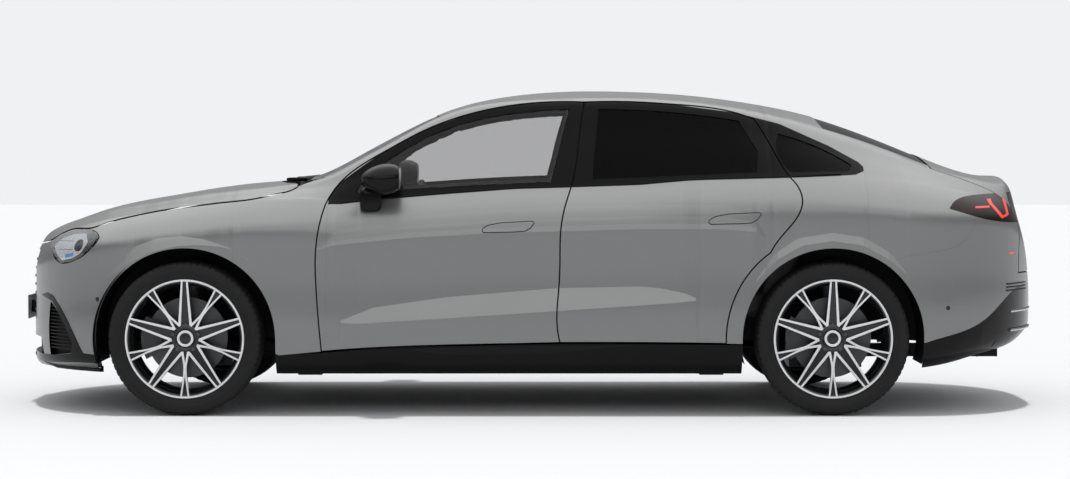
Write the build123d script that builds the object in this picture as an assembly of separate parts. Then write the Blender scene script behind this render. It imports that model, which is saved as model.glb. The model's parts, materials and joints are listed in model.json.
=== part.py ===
"""Four-door luxury sedan at full size, in millimetres.

The origin is on the ground, on the centreline, midway between nose and tail. +X points to the
rear, +Y to the car's right-hand side and +Z up, as body draughtsmen lay a car out.

The painted shell is one smooth lofted tube. Panels are cut out of it by their outlines in side or
plan view, at depths measured inward from the same tube, so neighbours meet on shared surfaces.
"""

from build123d import *
import math
import os

import numpy as np
from scipy.interpolate import PchipInterpolator

# Overall sizes
front_overhang = 832.5
wheelbase = 2962.0
rear_overhang = 1014.5
body_width = 1888.0
roof_height = 1497.0
ground_clearance = 178.0

# Wheels, tyres and brakes
tyre_diameter = 704.0
tyre_width = 245.0
rim_lip_diameter = 545.0
rim_width = 224.0
barrel_wall = 9.0
track = 1604.0
spoke_count = 10
spoke_depth = 26.0
spoke_width = 11.0
hub_diameter = 150.0
disc_diameter = 370.0
disc_thickness = 32.0
spindle_diameter = 60.0
running_clearance = 0.4
kingpin_inset = 62.0

# Shell and panels
skin_depth = 22.0
door_flange = 30.0
frame_flange = 12.0
seal_gap = 6.0
panel_gap = 6.5
door_land = 30.0
aperture_clearance = 12.0
cabin_wall = 42.0
trim_clearance = 8.0
cabin_width = 1630.0
floor_top = 300.0
glass_thickness = 5.0
glass_setback = 3.0
glass_land = 14.0
arch_clearance = 63.0
arch_land = 75.0
liner_wall = 10.0
seat_gap = 0.3
backing_gap = 1.2

lamp_depth = 62.0
hood_clearance = 8.0

# Hinges, joints and mounts
hinge_setback = 46.0
hinge_depth = 6.0
steering_wheel_diameter = 370.0
column_length = 340.0
plate_width = 520.0
plate_height = 112.0
plate_thickness = 6.0
jack_pad_width = 70.0
jack_pad_length = 110.0
jack_pad_inset = 58.0

# The outlines below are drawn for these sizes, and follow the sizes above when those change
DRAWN_X = (-2396.0, -1563.5, 1398.5, 2413.0)
DRAWN_Z = (178.0, 1497.0)
DRAWN_HALF_WIDTH = 944.0

length = front_overhang + wheelbase + rear_overhang
nose_x = -length / 2
front_axle_x = nose_x + front_overhang
rear_axle_x = front_axle_x + wheelbase
tail_x = length / 2
half_width = body_width / 2
wheel_radius = tyre_diameter / 2
wheel_y = track / 2
arch_radius = wheel_radius + arch_clearance
cabin_half = cabin_width / 2
SLIVER = 2000.0
REAL_X = (nose_x, front_axle_x, rear_axle_x, tail_x)
SIDE_REACH = body_width


def along(x):
    """A drawn place along the car, moved with the overhangs and the wheelbase."""
    return float(np.interp(x, DRAWN_X, REAL_X))


def up(z):
    """A drawn height, moved with the ground clearance and the roof."""
    scale = (roof_height - ground_clearance) / (DRAWN_Z[1] - DRAWN_Z[0])
    return ground_clearance + (z - DRAWN_Z[0]) * scale


def across(y):
    """A drawn half width, moved with the body's width."""
    return y * half_width / DRAWN_HALF_WIDTH


def guide(*points):
    """A guide line along the car through a few drawn points, with no overshoot between them."""
    places, values = zip(*points)
    curve = PchipInterpolator(places, values)
    return lambda x: float(curve(np.clip(x, places[0], places[-1])))


# Guide lines of the body: drawn place along the car, drawn height or share of the half width
roof_line = guide(
    (-2370, 690), (-2362, 722), (-2350, 750), (-2336, 783), (-2294, 827), (-2143, 890), (-1955, 950),
    (-1743, 990), (-1491, 1032), (-1188, 1066), (-1070, 1078), (-965, 1112), (-770, 1213),
    (-575, 1316), (-379, 1404), (-183, 1458), (12, 1484), (208, 1497), (500, 1497), (794, 1477),
    (1087, 1438), (1380, 1375), (1674, 1272), (1870, 1192), (1990, 1144), (2100, 1108),
    (2200, 1090), (2285, 1086), (2303, 1060), (2330, 965), (2352, 869), (2366, 790), (2376, 720),
    (2383, 640), (2392, 580), (2403, 535), (2413, 505),
)
bottom_line = guide(
    (-2370, 260), (-2350, 215), (-2300, 200), (-1900, 195), (-1150, 178), (980, 178),
    (1800, 205), (2100, 270), (2250, 303), (2373, 365), (2400, 385), (2413, 400),
)
rail_line = guide(
    (-2370, 676), (-2350, 734), (-2336, 768), (-2294, 814), (-2143, 875), (-1955, 932), (-1743, 970),
    (-1491, 1011), (-1188, 1044), (-1070, 1058), (-965, 1075), (-800, 1148), (-600, 1255),
    (-433, 1345), (-266, 1400), (0, 1432), (500, 1440), (794, 1420), (1000, 1392), (1200, 1347),
    (1400, 1297), (1700, 1200), (1900, 1126), (2100, 1078), (2200, 1058), (2285, 1045),
    (2303, 1010), (2330, 930), (2352, 843), (2366, 768), (2376, 700), (2392, 565), (2413, 495),
)
belt_line = guide(
    (-2370, 640), (-2350, 690), (-2336, 732), (-2294, 768), (-2143, 835), (-1955, 888), (-1743, 925),
    (-1564, 948), (-1188, 985), (-965, 985), (-855, 971), (-659, 988), (-361, 1013), (-62, 1035),
    (200, 1043), (517, 1055), (754, 1075), (1210, 1088), (1432, 1088), (1700, 1062), (1900, 1040),
    (2100, 1012), (2250, 975), (2303, 920), (2330, 860), (2352, 795), (2366, 732), (2376, 675),
    (2392, 545), (2413, 480),
)
rail_share = guide(
    (-2370, 0.50), (-2143, 0.54), (-1743, 0.60), (-1188, 0.70), (-965, 0.75), (-800, 0.775),
    (-600, 0.735), (-433, 0.70), (-266, 0.68), (0, 0.665), (500, 0.66), (1000, 0.635),
    (1400, 0.60), (1900, 0.61), (2200, 0.62), (2413, 0.50),
)
belt_share = guide(
    (-2370, 0.80), (-2143, 0.83), (-1743, 0.84), (-1188, 0.88), (-965, 0.91), (-855, 0.922),
    (0, 0.915), (1000, 0.905), (1432, 0.89), (1700, 0.86), (2100, 0.84), (2413, 0.80),
)
waist_width = guide((-2370, 905), (-1755, 918), (-1100, 932), (0, 934), (900, 940), (1400, 944),
                    (1800, 930), (2413, 900))
# Share of the waist width and share of the height up to the belt, from the sill upward
SIDE_ROWS = ((0.86, 0.0), (0.952, 0.06), (0.985, 0.18), (0.998, 0.33), (0.992, 0.50),
             (1.0, 0.765), (0.993, 0.86))
NOSE_PLAN = dict(tip=-2370.0, reach=640.0, flat=120.0, power=2.0)
TAIL_PLAN = dict(tip=2413.0, reach=640.0, flat=120.0, power=2.05)
STATIONS = (-2370, -2368, -2363, -2354, -2340, -2318, -2285, -2230, -2150, -2030, -1880, -1700,
            -1500, -1280, -1100, -1000, -900, -780, -640, -480, -300, -100, 150, 450, 750, 1050,
            1350, 1600, 1800, 1950, 2080, 2180, 2240, 2275, 2296, 2316, 2336, 2355, 2371, 2385,
            2397, 2407, 2411.5, 2413)


def plan_width(x):
    """Half width at the waist in plan, with nose and tail rounded as quarter superellipses."""
    width = waist_width(x)
    for end, sign in ((NOSE_PLAN, -1), (TAIL_PLAN, 1)):
        t = (sign * (x - end["tip"]) + end["reach"]) / end["reach"]
        if t > 0:
            share = max(0.0, 1 - t ** end["power"]) ** (1 / end["power"])
            return end["flat"] + (width - end["flat"]) * share
    return width


def half_section(x):
    """Points of the half section at a drawn place, from the sill's edge up to the centreline."""
    waist, low, top = plan_width(x), bottom_line(x), roof_line(x)
    belt, rail = belt_line(x), rail_line(x)
    belt_y, rail_y = waist * belt_share(x), waist * rail_share(x)
    points = [(share * waist, low + rise * (belt - low)) for share, rise in SIDE_ROWS]
    points.append((belt_y + 0.55 * (0.993 * waist - belt_y), low + 0.945 * (belt - low)))
    points.append((belt_y, belt))
    for share, bow in ((0.12, 0.0), (0.40, 0.018), (0.72, 0.020), (1.0, 0.0)):
        crown = bow * (rail - belt + 60) * 0.9
        points.append((belt_y + (rail_y - belt_y) * share + crown, belt + (rail - belt) * share))
    for share in (0.78, 0.45, 0.20, 0.0):
        points.append((rail_y * share, rail + (top - rail) * (1 - share**2.2)))
    return np.array(points)


def row_depths(lower, upper):
    """One depth for the rows of the side and another for the glass and roof."""
    return np.array([lower] * 8 + [(lower + upper) / 2] + [upper] * 8)


def tube(lower=0.0, upper=None):
    """The body's outer surface as a closed solid, or a smaller one inside it.

    Each section shrinks toward its foot by the depths, so the wall is about as thick as the depth
    all round, and the skirt of a smaller tube reaches lower, so the wall is open underneath.
    """
    depths = row_depths(lower, lower if upper is None else upper)
    wires = []
    for station in STATIONS:
        rows = np.array([(across(y), up(z)) for y, z in half_section(station)])
        low, high = rows[0, 1], rows[-1, 1]
        ys = rows[:, 0] * (1 - depths / rows[:, 0].max())
        zs = low + (rows[:, 1] - low) * (1 - depths / (high - low))
        zs[0] -= 2 * lower
        x = along(station) * (1 - 2 * lower / length)
        near = [(x, -y, z) for y, z in zip(ys, zs)]
        far = [(x, y, z) for y, z in zip(ys[-2::-1], zs[-2::-1])]
        wires.append(section_wire(near + far))
    return Solid.make_loft(wires)


def section_wire(ring):
    """A section through the ring's points, closed by a straight bottom."""
    top = Edge.make_spline(ring, parameters=RING_PARAMETERS)
    return Wire([top, Edge.make_line(ring[-1], ring[0])])


def ring_parameters():
    """Shared spline parameters, from the section midway, so that the loft's rows run true."""
    half = half_section(0.0)
    ring = np.vstack([half, half[-2::-1] * (-1, 1)])
    steps = np.sqrt(np.linalg.norm(np.diff(ring, axis=0), axis=1))
    return list(np.concatenate([[0], np.cumsum(steps)]) / steps.sum())


RING_PARAMETERS = ring_parameters()


def outline(*sides, grow=0.0):
    """A face in side view, bounded by smooth sides through drawn points and grown outward."""
    loop = np.array([(along(x), up(z)) for side in sides for x, z in side[:-1]])
    moved = grow_loop(loop, grow)
    edges, start = [], 0
    for side in sides:
        count = len(side)
        points = [moved[(start + i) % len(moved)] for i in range(count)]
        places = [(x, 0, z) for x, z in points]
        edges.append(Edge.make_line(*places) if count == 2 else Edge.make_spline(places))
        start += count - 1
    return Face(Wire(edges))


def grow_loop(loop, grow):
    """A closed loop of points moved outward, each along the mitre of its two neighbours."""
    ahead = np.roll(loop, -1, axis=0) - loop
    ahead /= np.linalg.norm(ahead, axis=1)[:, None]
    right = np.column_stack([ahead[:, 1], -ahead[:, 0]])
    before = np.roll(right, 1, axis=0)
    meeting = np.maximum(1 + np.sum(right * before, axis=1), 0.5)
    x, z = loop.T
    turning = np.sign(np.sum(x * np.roll(z, -1) - z * np.roll(x, -1)))
    return loop + turning * grow * (right + before) / meeting[:, None]


def across_car(face, near=-SIDE_REACH, far=0.0):
    """A side-view face carried across the car from one y to another."""
    return Solid.extrude(face.moved(Location((0, near, 0))), Vector(0, far - near, 0))


def box(x0, x1, y0, y1, z0, z1):
    """A box between two corners."""
    size = (x1 - x0, y1 - y0, z1 - z0)
    return Solid.make_box(*size, Plane((x0, y0, z0)))


def disc_across(x, radius, near, far, z=wheel_radius):
    """A cylinder about an axle line between two y values."""
    return Solid.make_cylinder(radius, far - near, Plane((x, near, z), z_dir=(0, 1, 0)))


def mirrored(shape):
    """The same piece on the car's other side."""
    return shape.mirror(Plane.XZ)


def pieces(shape):
    """The solids of a shape, largest first, without slivers."""
    found = sorted(shape.solids(), key=lambda s: -s.volume)
    return [s for s in found if s.volume > SLIVER]


def largest(shape):
    return pieces(shape)[0]


def write(name, *solids):
    """One node's file, from its separate solids."""
    shape = solids[0] if len(solids) == 1 else Compound(list(solids))
    shape.label = name
    export_step(shape, f"parts/{name}.step")


# Shut lines and outlines in side view, drawn on the left side
HOOD_LINE = ((-2460, 762), (-2290, 775), (-2236, 792), (-2179, 823), (-2098, 849), (-2019, 853),
             (-1940, 877), (-1840, 904), (-1741, 925), (-1641, 942), (-1506, 959), (-1401, 972),
             (-1251, 990), (-1153, 1012), (-1094, 1026), (-1061, 1044))
FRONT_SHUT_LINE = ((-922, 964), (-948, 863), (-964, 738), (-962, 592), (-951, 435), (-939, 295))
CENTRE_SHUT_LINE = ((150, 336), (137, 486), (145, 585), (150, 693), (155, 861), (180, 979),
                    (206, 1058), (237, 1236), (266, 1437))
REAR_SHUT_LINE = ((1000, 330), (1020, 480), (1062, 630), (1143, 802), (1236, 921), (1254, 980),
                  (1243, 1035), (1210, 1082))
REAR_FRAME_LINE = ((1210, 1082), (1175, 1137), (1115, 1256), (1055, 1358))
FRONT_SILL_LINE = ((-939, 295), (-669, 314), (-359, 325), (150, 336))
REAR_SILL_LINE = ((150, 336), (514, 336), (1000, 330))
FRONT_FRAME_TOP = ((266, 1437), (138, 1439), (-63, 1423), (-265, 1382), (-466, 1310),
                   (-664, 1204), (-859, 1066), (-922, 964))
REAR_FRAME_TOP = ((1055, 1358), (969, 1388), (666, 1428), (526, 1437), (266, 1437))
FRONT_DOOR = (FRONT_SHUT_LINE, FRONT_SILL_LINE, CENTRE_SHUT_LINE, FRONT_FRAME_TOP)
REAR_DOOR = (CENTRE_SHUT_LINE[::-1], REAR_SILL_LINE, REAR_SHUT_LINE, REAR_FRAME_LINE,
             REAR_FRAME_TOP)
FRONT_WINDOW = (((-790, 1020), (-700, 1120), (-560, 1220), (-400, 1300), (-240, 1352),
                 (-63, 1385), (196, 1405)),
                ((196, 1405), (150, 1230), (109, 1068)),
                ((109, 1068), (-361, 1046), (-790, 1020)))
REAR_WINDOW = (((331, 1404), (664, 1390), (983, 1350)),
               ((983, 1350), (1065, 1206)),
               ((1065, 1206), (1057, 1112)),
               ((1057, 1112), (700, 1096), (299, 1080)),
               ((299, 1080), (331, 1404)))
QUARTER_WINDOW = (((1165, 1290), (1330, 1236), (1496, 1146)),
                  ((1496, 1146), (1490, 1124), (1460, 1116)),
                  ((1460, 1116), (1330, 1114), (1212, 1112)),
                  ((1212, 1112), (1150, 1240), (1165, 1290)))
HEADLAMP = (((-2240, 776), (-2179, 817), (-2098, 843), (-2019, 847), (-1975, 834), (-1960, 815)),
            ((-1960, 815), (-1975, 785), (-1999, 763)),
            ((-1999, 763), (-2050, 720), (-2097, 700), (-2158, 688), (-2190, 702), (-2212, 733),
             (-2240, 776)))
BUMPER_LINE = ((-1999, 763), (-1772, 712), (-1640, 690))
LAMP_FOOT = ((2500, 876), (2300, 876), (2185, 884), (2054, 910))
TAIL_LAMP = (((1931, 946), (1969, 985), (2034, 1003), (2163, 1011), (2290, 1016), (2500, 1020)),
             ((2500, 1020), (2500, 876)), LAMP_FOOT, ((2054, 910), (1931, 946)))
QUARTER_LINE = ((2054, 910), (2029, 830), (1987, 789), (1885, 754), (1655, 691))
QUARTER_REAR = (((2500, 876), (2500, 150)), ((2500, 150), (1600, 150)), ((1600, 150), (1655, 691)),
                QUARTER_LINE[::-1], LAMP_FOOT[::-1])
SILL_TRIM_TOP = ((-939, 288), (-669, 307), (-359, 318), (150, 329), (514, 329), (1100, 323))
CURTAIN = (((-2225, 508), (-2184, 466), (-2139, 396), (-2105, 324), (-2113, 274)),
           ((-2113, 274), (-2230, 256)), ((-2230, 256), (-2236, 400), (-2225, 508)))
DIFFUSER_LINE = ((1821, 334), (1918, 362), (2051, 403), (2119, 441), (2176, 488), (2266, 560),
                 (2500, 570))

# Places of the edges that run across the car, in drawn sizes, each with its bow
CROWN_SHARE = 0.93
CROWN_RUN = (-1240, 2330)
HOOD_REAR, HOOD_REAR_RADIUS = -1188, 1938.0
COWL_FRONT, COWL_FRONT_BOW = -1110, 105
GLASS_FOOT, GLASS_FOOT_BOW = -962, 140
ROOF_FRONT, ROOF_BOW = -385, 55
ROOF_REAR, ROOF_REAR_BOW = 1385, 18
BACKLIGHT_FOOT, BACKLIGHT_BOW = 1880, 28
HEADLAMP_INNER = 520.0
LID_FRONT, LID_HALF, LID_LOW = 1888, 570.0, 640.0
LAMP_INNER, LID_LAMP_FRONT = 330.0, 2262
GRILLE_HALF, GRILLE_LOW, GRILLE_HIGH = 400.0, 415.0, 742.0
INTAKE_HALF, INTAKE_LOW, INTAKE_HIGH = 500.0, 222.0, 335.0
PLATE_LOW = 406.0


def crown_half(x):
    """Half width of the strip along the top that holds the windshield, roof and rear window."""
    return across(CROWN_SHARE * plan_width(x) * rail_share(x))


def crown_run(narrow=0.0):
    """A plan-view prism of the whole strip along the top."""
    places = np.linspace(*CROWN_RUN, 25)
    near = [(along(x), -(crown_half(x) - narrow), 0) for x in places]
    far = [(x, -y, 0) for x, y, _ in near[::-1]]
    face = Face(Wire([Edge.make_spline(near), Edge.make_line(near[-1], far[0]),
                      Edge.make_spline(far), Edge.make_line(far[-1], near[0])]))
    return Solid.extrude(face, Vector(0, 0, 2 * roof_height))


def crown_strip(front, rear, front_bow, rear_bow, narrow=0.0):
    """The part of the strip between two bowed edges that run across the car."""
    ends = []
    for x, bow in ((front, front_bow), (rear, rear_bow)):
        corner = along(x) + bow * ((half_width / crown_half(x)) ** 2 - 1)
        ends.append([(corner, -half_width, 0), (corner, half_width, 0), along(x - bow)])
    (low_near, low_far, low_x), (high_near, high_far, high_x) = ends
    face = Face(Wire([
        Edge.make_line(low_near, high_near),
        bowed_edge(high_near, high_far, high_x),
        Edge.make_line(high_far, low_far),
        bowed_edge(low_far, low_near, low_x),
    ]))
    return Solid.extrude(face, Vector(0, 0, 2 * roof_height)) & crown_run(narrow)


def bowed_edge(start, end, middle_x):
    """An edge across the car, straight or bowed so that its middle is at a given x."""
    if abs(middle_x - start[0]) < 0.1:
        return Edge.make_line(start, end)
    return Edge.make_three_point_arc(start, (middle_x, 0, 0), end)


def door_outline(sides, grow, is_rear=False):
    """A door's side-view prism. A rear door is cut back round its wheel arch."""
    prism = across_car(outline(*sides, grow=grow))
    if is_rear:
        land = arch_radius + arch_land - grow
        prism -= disc_across(rear_axle_x, land, -SIDE_REACH, 0)
    return prism


def build_tubes():
    """The nested surfaces that panels are cut from, each made once."""
    return dict(
        outer=tube(),
        skin=tube(skin_depth),
        flange=tube(door_flange, frame_flange),
        rebate=tube(door_flange + seal_gap, frame_flange + seal_gap),
        lining=tube(cabin_wall),
        glass_face=tube(glass_setback),
        glass_back=tube(glass_setback + glass_thickness),
        glass_bed=tube(glass_setback + glass_thickness + seat_gap),
        backing=tube(skin_depth + backing_gap),
        hood_back=tube(skin_depth + hood_clearance),
        lamp_back=tube(lamp_depth),
    )


T = build_tubes()
FIREWALL_X = along(-1080)
SEAT_BACK_X = along(1400)
cabin = T["lining"] & box(FIREWALL_X, SEAT_BACK_X, -cabin_half, cabin_half, floor_top, 1600)


def window_opening(window):
    """The pane's rebate and the sight opening through the wall behind it."""
    rebate = largest(across_car(outline(*window)) - T["glass_bed"])
    return rebate, across_car(outline(*window, grow=-glass_land))


def make_pane(window):
    """A side pane, flush in its rebate."""
    prism = across_car(outline(*window, grow=-seat_gap))
    return largest((T["glass_face"] & prism) - T["glass_back"])


def make_door(sides, window, is_rear):
    """A door: a flange over the body's rebate, a deep case behind it, and a cut window."""
    edge = -panel_gap / 2
    leaf = (T["outer"] & door_outline(sides, edge, is_rear)) - T["flange"]
    inner_edge = edge - door_land - aperture_clearance / 2
    case = (T["flange"] & door_outline(sides, inner_edge, is_rear)) - cabin
    door = largest(leaf.fuse(case))
    rebate, sight = window_opening(window)
    return largest(door - rebate - sight)


def hinge_axis(is_rear):
    """The door hinge's place in plan on the left side: a vertical line behind the shut line."""
    line = CENTRE_SHUT_LINE if is_rear else FRONT_SHUT_LINE
    front = min(along(x) for x, _ in line)
    widest = across(plan_width(front))
    return front + hinge_setback, -(widest - hinge_depth)


def hinge_pocket(is_rear):
    """The hollow that the flange ahead of the hinge swings into."""
    x, y = hinge_axis(is_rear)
    reach = hinge_setback + hinge_depth + seal_gap
    low, high = up(335 if is_rear else 298), up(985)
    return Solid.make_cylinder(reach, high - low, Plane((x, y, low)))


def arch_prism(x, radius, near=-SIDE_REACH, far=0.0):
    """A wheel arch's opening: round above the axle line and open below it."""
    round_top = disc_across(x, radius, near, far)
    return round_top.fuse(box(x - radius, x + radius, near, far, -10, wheel_radius))


def side_panel(depth_tube, *regions):
    """A panel of the left side: the wall outside a tube, within every one of the regions."""
    panel = T["outer"]
    for region in regions:
        panel = panel & region
    return largest(panel - T[depth_tube])


FRONT_ARCH = arch_prism(front_axle_x, arch_radius)
REAR_ARCH = arch_prism(rear_axle_x, arch_radius)
LEFT = box(nose_x - 500, tail_x + 500, -SIDE_REACH, -1, -10, 2 * roof_height)


def hood_prism(grow):
    """The hood's outline in side view, with its rear edge swept back toward the sides."""
    region = outline(HOOD_LINE, ((-1061, 1044), (-1030, 1400)), ((-1030, 1400), (-2460, 1400)),
                     ((-2460, 1400), (-2460, 762)), grow=grow)
    centre = along(HOOD_REAR) + HOOD_REAR_RADIUS
    rear = Solid.make_cylinder(HOOD_REAR_RADIUS - grow, 2 * roof_height, Plane((centre, 0, 0)))
    return across_car(region, -SIDE_REACH, SIDE_REACH) - rear


def make_fender():
    """Front fender, from the headlamp and bumper to the door and the windshield's foot."""
    region = outline(
        FRONT_SHUT_LINE[::-1], ((-922, 964), (-895, 1014), (-859, 1066)),
        ((-859, 1066), (-937, 1086)), ((-937, 1086), (-997, 1069), (-1061, 1044)),
        HOOD_LINE[::-1][:-5], ((-2019, 853), (-2019, 847)), HEADLAMP[0][3:], HEADLAMP[1], BUMPER_LINE,
        ((-1640, 690), (-1400, 400)), ((-1400, 400), (-1133, 277)), ((-1133, 277), (-939, 295)),
        grow=-seat_gap / 2,
    )
    outside_crown = LEFT - crown_run()
    panel = side_panel("skin", across_car(region), outside_crown) - FRONT_ARCH
    panel = panel - across_car(outline(*HEADLAMP, grow=seat_gap))
    return largest(panel - door_outline(FRONT_DOOR, panel_gap / 2) - hood_prism(panel_gap / 2))


def make_hood():
    """Hood: one sheet from the nose to the cowl."""
    return largest((T["outer"] & hood_prism(-panel_gap / 2)) - T["skin"])


def make_crown():
    """Windshield, roof panel and rear window, each set into the strip along the top."""
    glass = T["glass_face"] - T["glass_back"]
    windshield = glass & crown_strip(GLASS_FOOT, ROOF_FRONT - seat_gap, GLASS_FOOT_BOW, ROOF_BOW,
                                     seat_gap)
    rear_window = glass & crown_strip(ROOF_REAR + seat_gap, BACKLIGHT_FOOT, ROOF_REAR_BOW,
                                      BACKLIGHT_BOW, seat_gap)
    span = (ROOF_FRONT, ROOF_REAR, ROOF_BOW, ROOF_REAR_BOW)
    sheet = (T["outer"] & crown_strip(*span, seat_gap)) - T["glass_bed"]
    wide = (ROOF_FRONT - glass_land, ROOF_REAR + glass_land, ROOF_BOW, ROOF_REAR_BOW)
    frame = (T["glass_bed"] & crown_strip(*wide, glass_land + seat_gap)) - T["lining"]
    return largest(windshield), largest(sheet.fuse(frame)), largest(rear_window)


def make_cowl():
    """The black cowl between hood and windshield, tucked under both."""
    rear = GLASS_FOOT + glass_land
    narrow = glass_land + seat_gap
    floor = T["hood_back"] & crown_strip(COWL_FRONT, rear, COWL_FRONT_BOW, GLASS_FOOT_BOW, narrow)
    ledge = T["glass_bed"] & crown_strip(GLASS_FOOT - 2, rear, GLASS_FOOT_BOW, GLASS_FOOT_BOW,
                                         narrow)
    return largest(floor.fuse(ledge) - T["lining"])


def make_body_side():
    """Left body side: hinge pillar, cant rail, centre and rear pillars, sill and quarter panel."""
    side = (T["outer"] & box(along(-1140), along(2330), -SIDE_REACH, -1, up(196), 1600)) - cabin
    side = side - (T["skin"] & box(SEAT_BACK_X - 1, tail_x, -half_width, 0, 0, 2 * roof_height))
    side = side - box(along(-1141), tail_x, -cabin_half, 0, 0, floor_top)
    front_skin = across_car(outline(
        ((-1300, 100), *FRONT_SHUT_LINE[-1:]), FRONT_SHUT_LINE[::-1],
        ((-922, 964), (-895, 1014), (-859, 1066)), ((-859, 1066), (-937, 1086)),
        ((-937, 1086), (-1300, 1300)), ((-1300, 1300), (-1300, 100)))) - T["skin"]
    side = side - front_skin
    side = side - (crown_run() - T["glass_bed"]) - crown_run(glass_land)
    side = side - lid_prism(panel_gap / 2) - (hood_prism(panel_gap / 2) - T["hood_back"])
    for sides, is_rear in ((FRONT_DOOR, False), (REAR_DOOR, True)):
        side = side - (door_outline(sides, panel_gap / 2, is_rear) - T["rebate"])
        side = side - door_outline(sides, panel_gap / 2 - door_land, is_rear)
        side = side - hinge_pocket(is_rear)
    rebate, sight = window_opening(QUARTER_WINDOW)
    side = side - rebate - sight
    side = side - REAR_ARCH - FRONT_ARCH
    round_liner = disc_across(rear_axle_x, arch_radius + liner_wall + backing_gap, -half_width, 0)
    side = side - (T["skin"] & round_liner)
    side = side - across_car(outline(*TAIL_LAMP, grow=seat_gap))
    side = side - across_car(outline(*QUARTER_REAR, grow=seat_gap))
    below_sill = outline(((-1300, 100), (2500, 100)), ((2500, 100), (2500, 330)),
                         ((2500, 330), (1000, 324)), REAR_SILL_LINE[::-1], FRONT_SILL_LINE[::-1],
                         ((-939, 295), (-1300, 277)), ((-1300, 277), (-1300, 100)))
    side = side - across_car(below_sill)
    return side


def front_view(half, low, high, slope=0.0):
    """A prism along the car over the nose, a rounded trapezoid in front view."""
    top, foot = across(half), across(half - slope)
    corners = [(-foot, up(low)), (foot, up(low)), (top, up(high)), (-top, up(high))]
    edge = Wire.make_polygon([(0, y, z) for y, z in corners])
    face = Face(edge).fillet_2d(25, Face(edge).vertices())
    return Solid.extrude(face.moved(Location((nose_x - 200, 0, 0))), Vector(600, 0, 0))


def make_front_bumper():
    """Front bumper cover with its grille and intake openings and the corner air curtains."""
    region = outline(HOOD_LINE[:6], ((-2019, 853), (-1999, 763)), BUMPER_LINE,
                     ((-1640, 690), (-1640, 100)), ((-1640, 100), (-2460, 100)),
                     ((-2460, 100), (-2460, 762)), grow=-seat_gap / 2)
    panel = (T["outer"] & across_car(region)) - T["skin"] - FRONT_ARCH
    panel = panel - across_car(outline(*HEADLAMP, grow=seat_gap)) - across_car(outline(*CURTAIN))
    half = largest(panel - hood_prism(panel_gap / 2))
    whole = half.fuse(mirrored(half)) - front_view(GRILLE_HALF, GRILLE_LOW, GRILLE_HIGH, 40)
    return largest(whole - front_view(INTAKE_HALF, INTAKE_LOW, INTAKE_HIGH, -30))


def make_headlamp():
    """Left headlamp unit, a deep block that wraps the corner."""
    block = T["outer"] & across_car(outline(*HEADLAMP, grow=-0.2), far=-across(HEADLAMP_INNER))
    return largest(block - T["lamp_back"])


def make_grille():
    """Inserts behind the bumper: grille with the plate's bracket, intake and air curtains."""
    prism = front_view(GRILLE_HALF - seat_gap, GRILLE_LOW + seat_gap, GRILLE_HIGH - seat_gap, 40)
    grille = largest((T["glass_bed"] & prism) - T["lamp_back"])
    bracket = plate_bracket(nose_x + plate_thickness + seat_gap, along(-2345), PLATE_LOW)
    prism = front_view(INTAKE_HALF + 15, INTAKE_LOW + seat_gap, INTAKE_HIGH + 15, -30)
    intake = largest((T["backing"] & prism) - T["lamp_back"])
    curtain = T["backing"] & across_car(outline(*CURTAIN, grow=12))
    return largest(grille.fuse(bracket)), intake, *both(largest(curtain - T["lamp_back"]))


def plate_bracket(x0, x1, low):
    """A number plate's bracket between the plate's back and the body."""
    half, middle = plate_width / 2 - 60, up(low) + plate_height / 2
    return box(x0, x1, -half, half, middle - plate_height / 4, middle + plate_height / 4)


def lamp_block(inner, outer):
    """The tail lamp's depth of the tail between two half widths on the left."""
    block = (T["outer"] & across_car(outline(*TAIL_LAMP, grow=-0.2), -outer, -inner))
    return block - T["lamp_back"]


def make_tail_lamps():
    """Left tail lamp on the body and its continuation on the trunk lid."""
    seam = across(LID_HALF)
    lid_lamp = lamp_block(across(LAMP_INNER), seam - panel_gap / 2)
    lid_lamp = lid_lamp & box(along(LID_LAMP_FRONT), tail_x, -half_width, 0, 0, roof_height)
    return largest(lamp_block(seam + panel_gap / 2, half_width)), largest(lid_lamp)


def lid_prism(grow):
    """The trunk lid's outline in plan, with a bowed front edge under the rear window."""
    half = across(LID_HALF) + grow
    front, rear = along(LID_FRONT) - grow, tail_x + 300
    face = Face(Wire([
        Edge.make_line((front, -half, 0), (rear, -half, 0)),
        Edge.make_line((rear, -half, 0), (rear, half, 0)),
        Edge.make_line((rear, half, 0), (front, half, 0)),
        Edge.make_three_point_arc((front, half, 0), (front - BACKLIGHT_BOW, 0, 0),
                                  (front, -half, 0)),
    ]))
    return Solid.extrude(face.moved(Location((0, 0, up(LID_LOW) - grow))), Vector(0, 0, 1500))


def make_trunk_lid():
    """Trunk lid: the deck and the upright rear face down to the bumper, in one sheet."""
    lid = (T["outer"] & lid_prism(-panel_gap / 2)) - T["skin"]
    pocket = across_car(outline(*TAIL_LAMP), -across(LID_HALF), -across(LAMP_INNER))
    pocket = pocket & box(along(LID_LAMP_FRONT) - seat_gap, tail_x + 100, -half_width, 0, 0, roof_height)
    return largest(lid - pocket - mirrored(pocket))


def make_rear_bumper():
    """Rear bumper cover, from the quarter panels round the tail."""
    region = outline(LAMP_FOOT, QUARTER_LINE, ((1655, 691), (1655, 330)),
                     ((1655, 330), (1821, 334)), DIFFUSER_LINE, ((2500, 570), (2500, 876)),
                     grow=-seat_gap / 2)
    half = (T["outer"] & across_car(region)) - T["skin"] - REAR_ARCH
    half = largest(half - lid_prism(panel_gap / 2))
    return largest(half.fuse(mirrored(half)))


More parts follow.
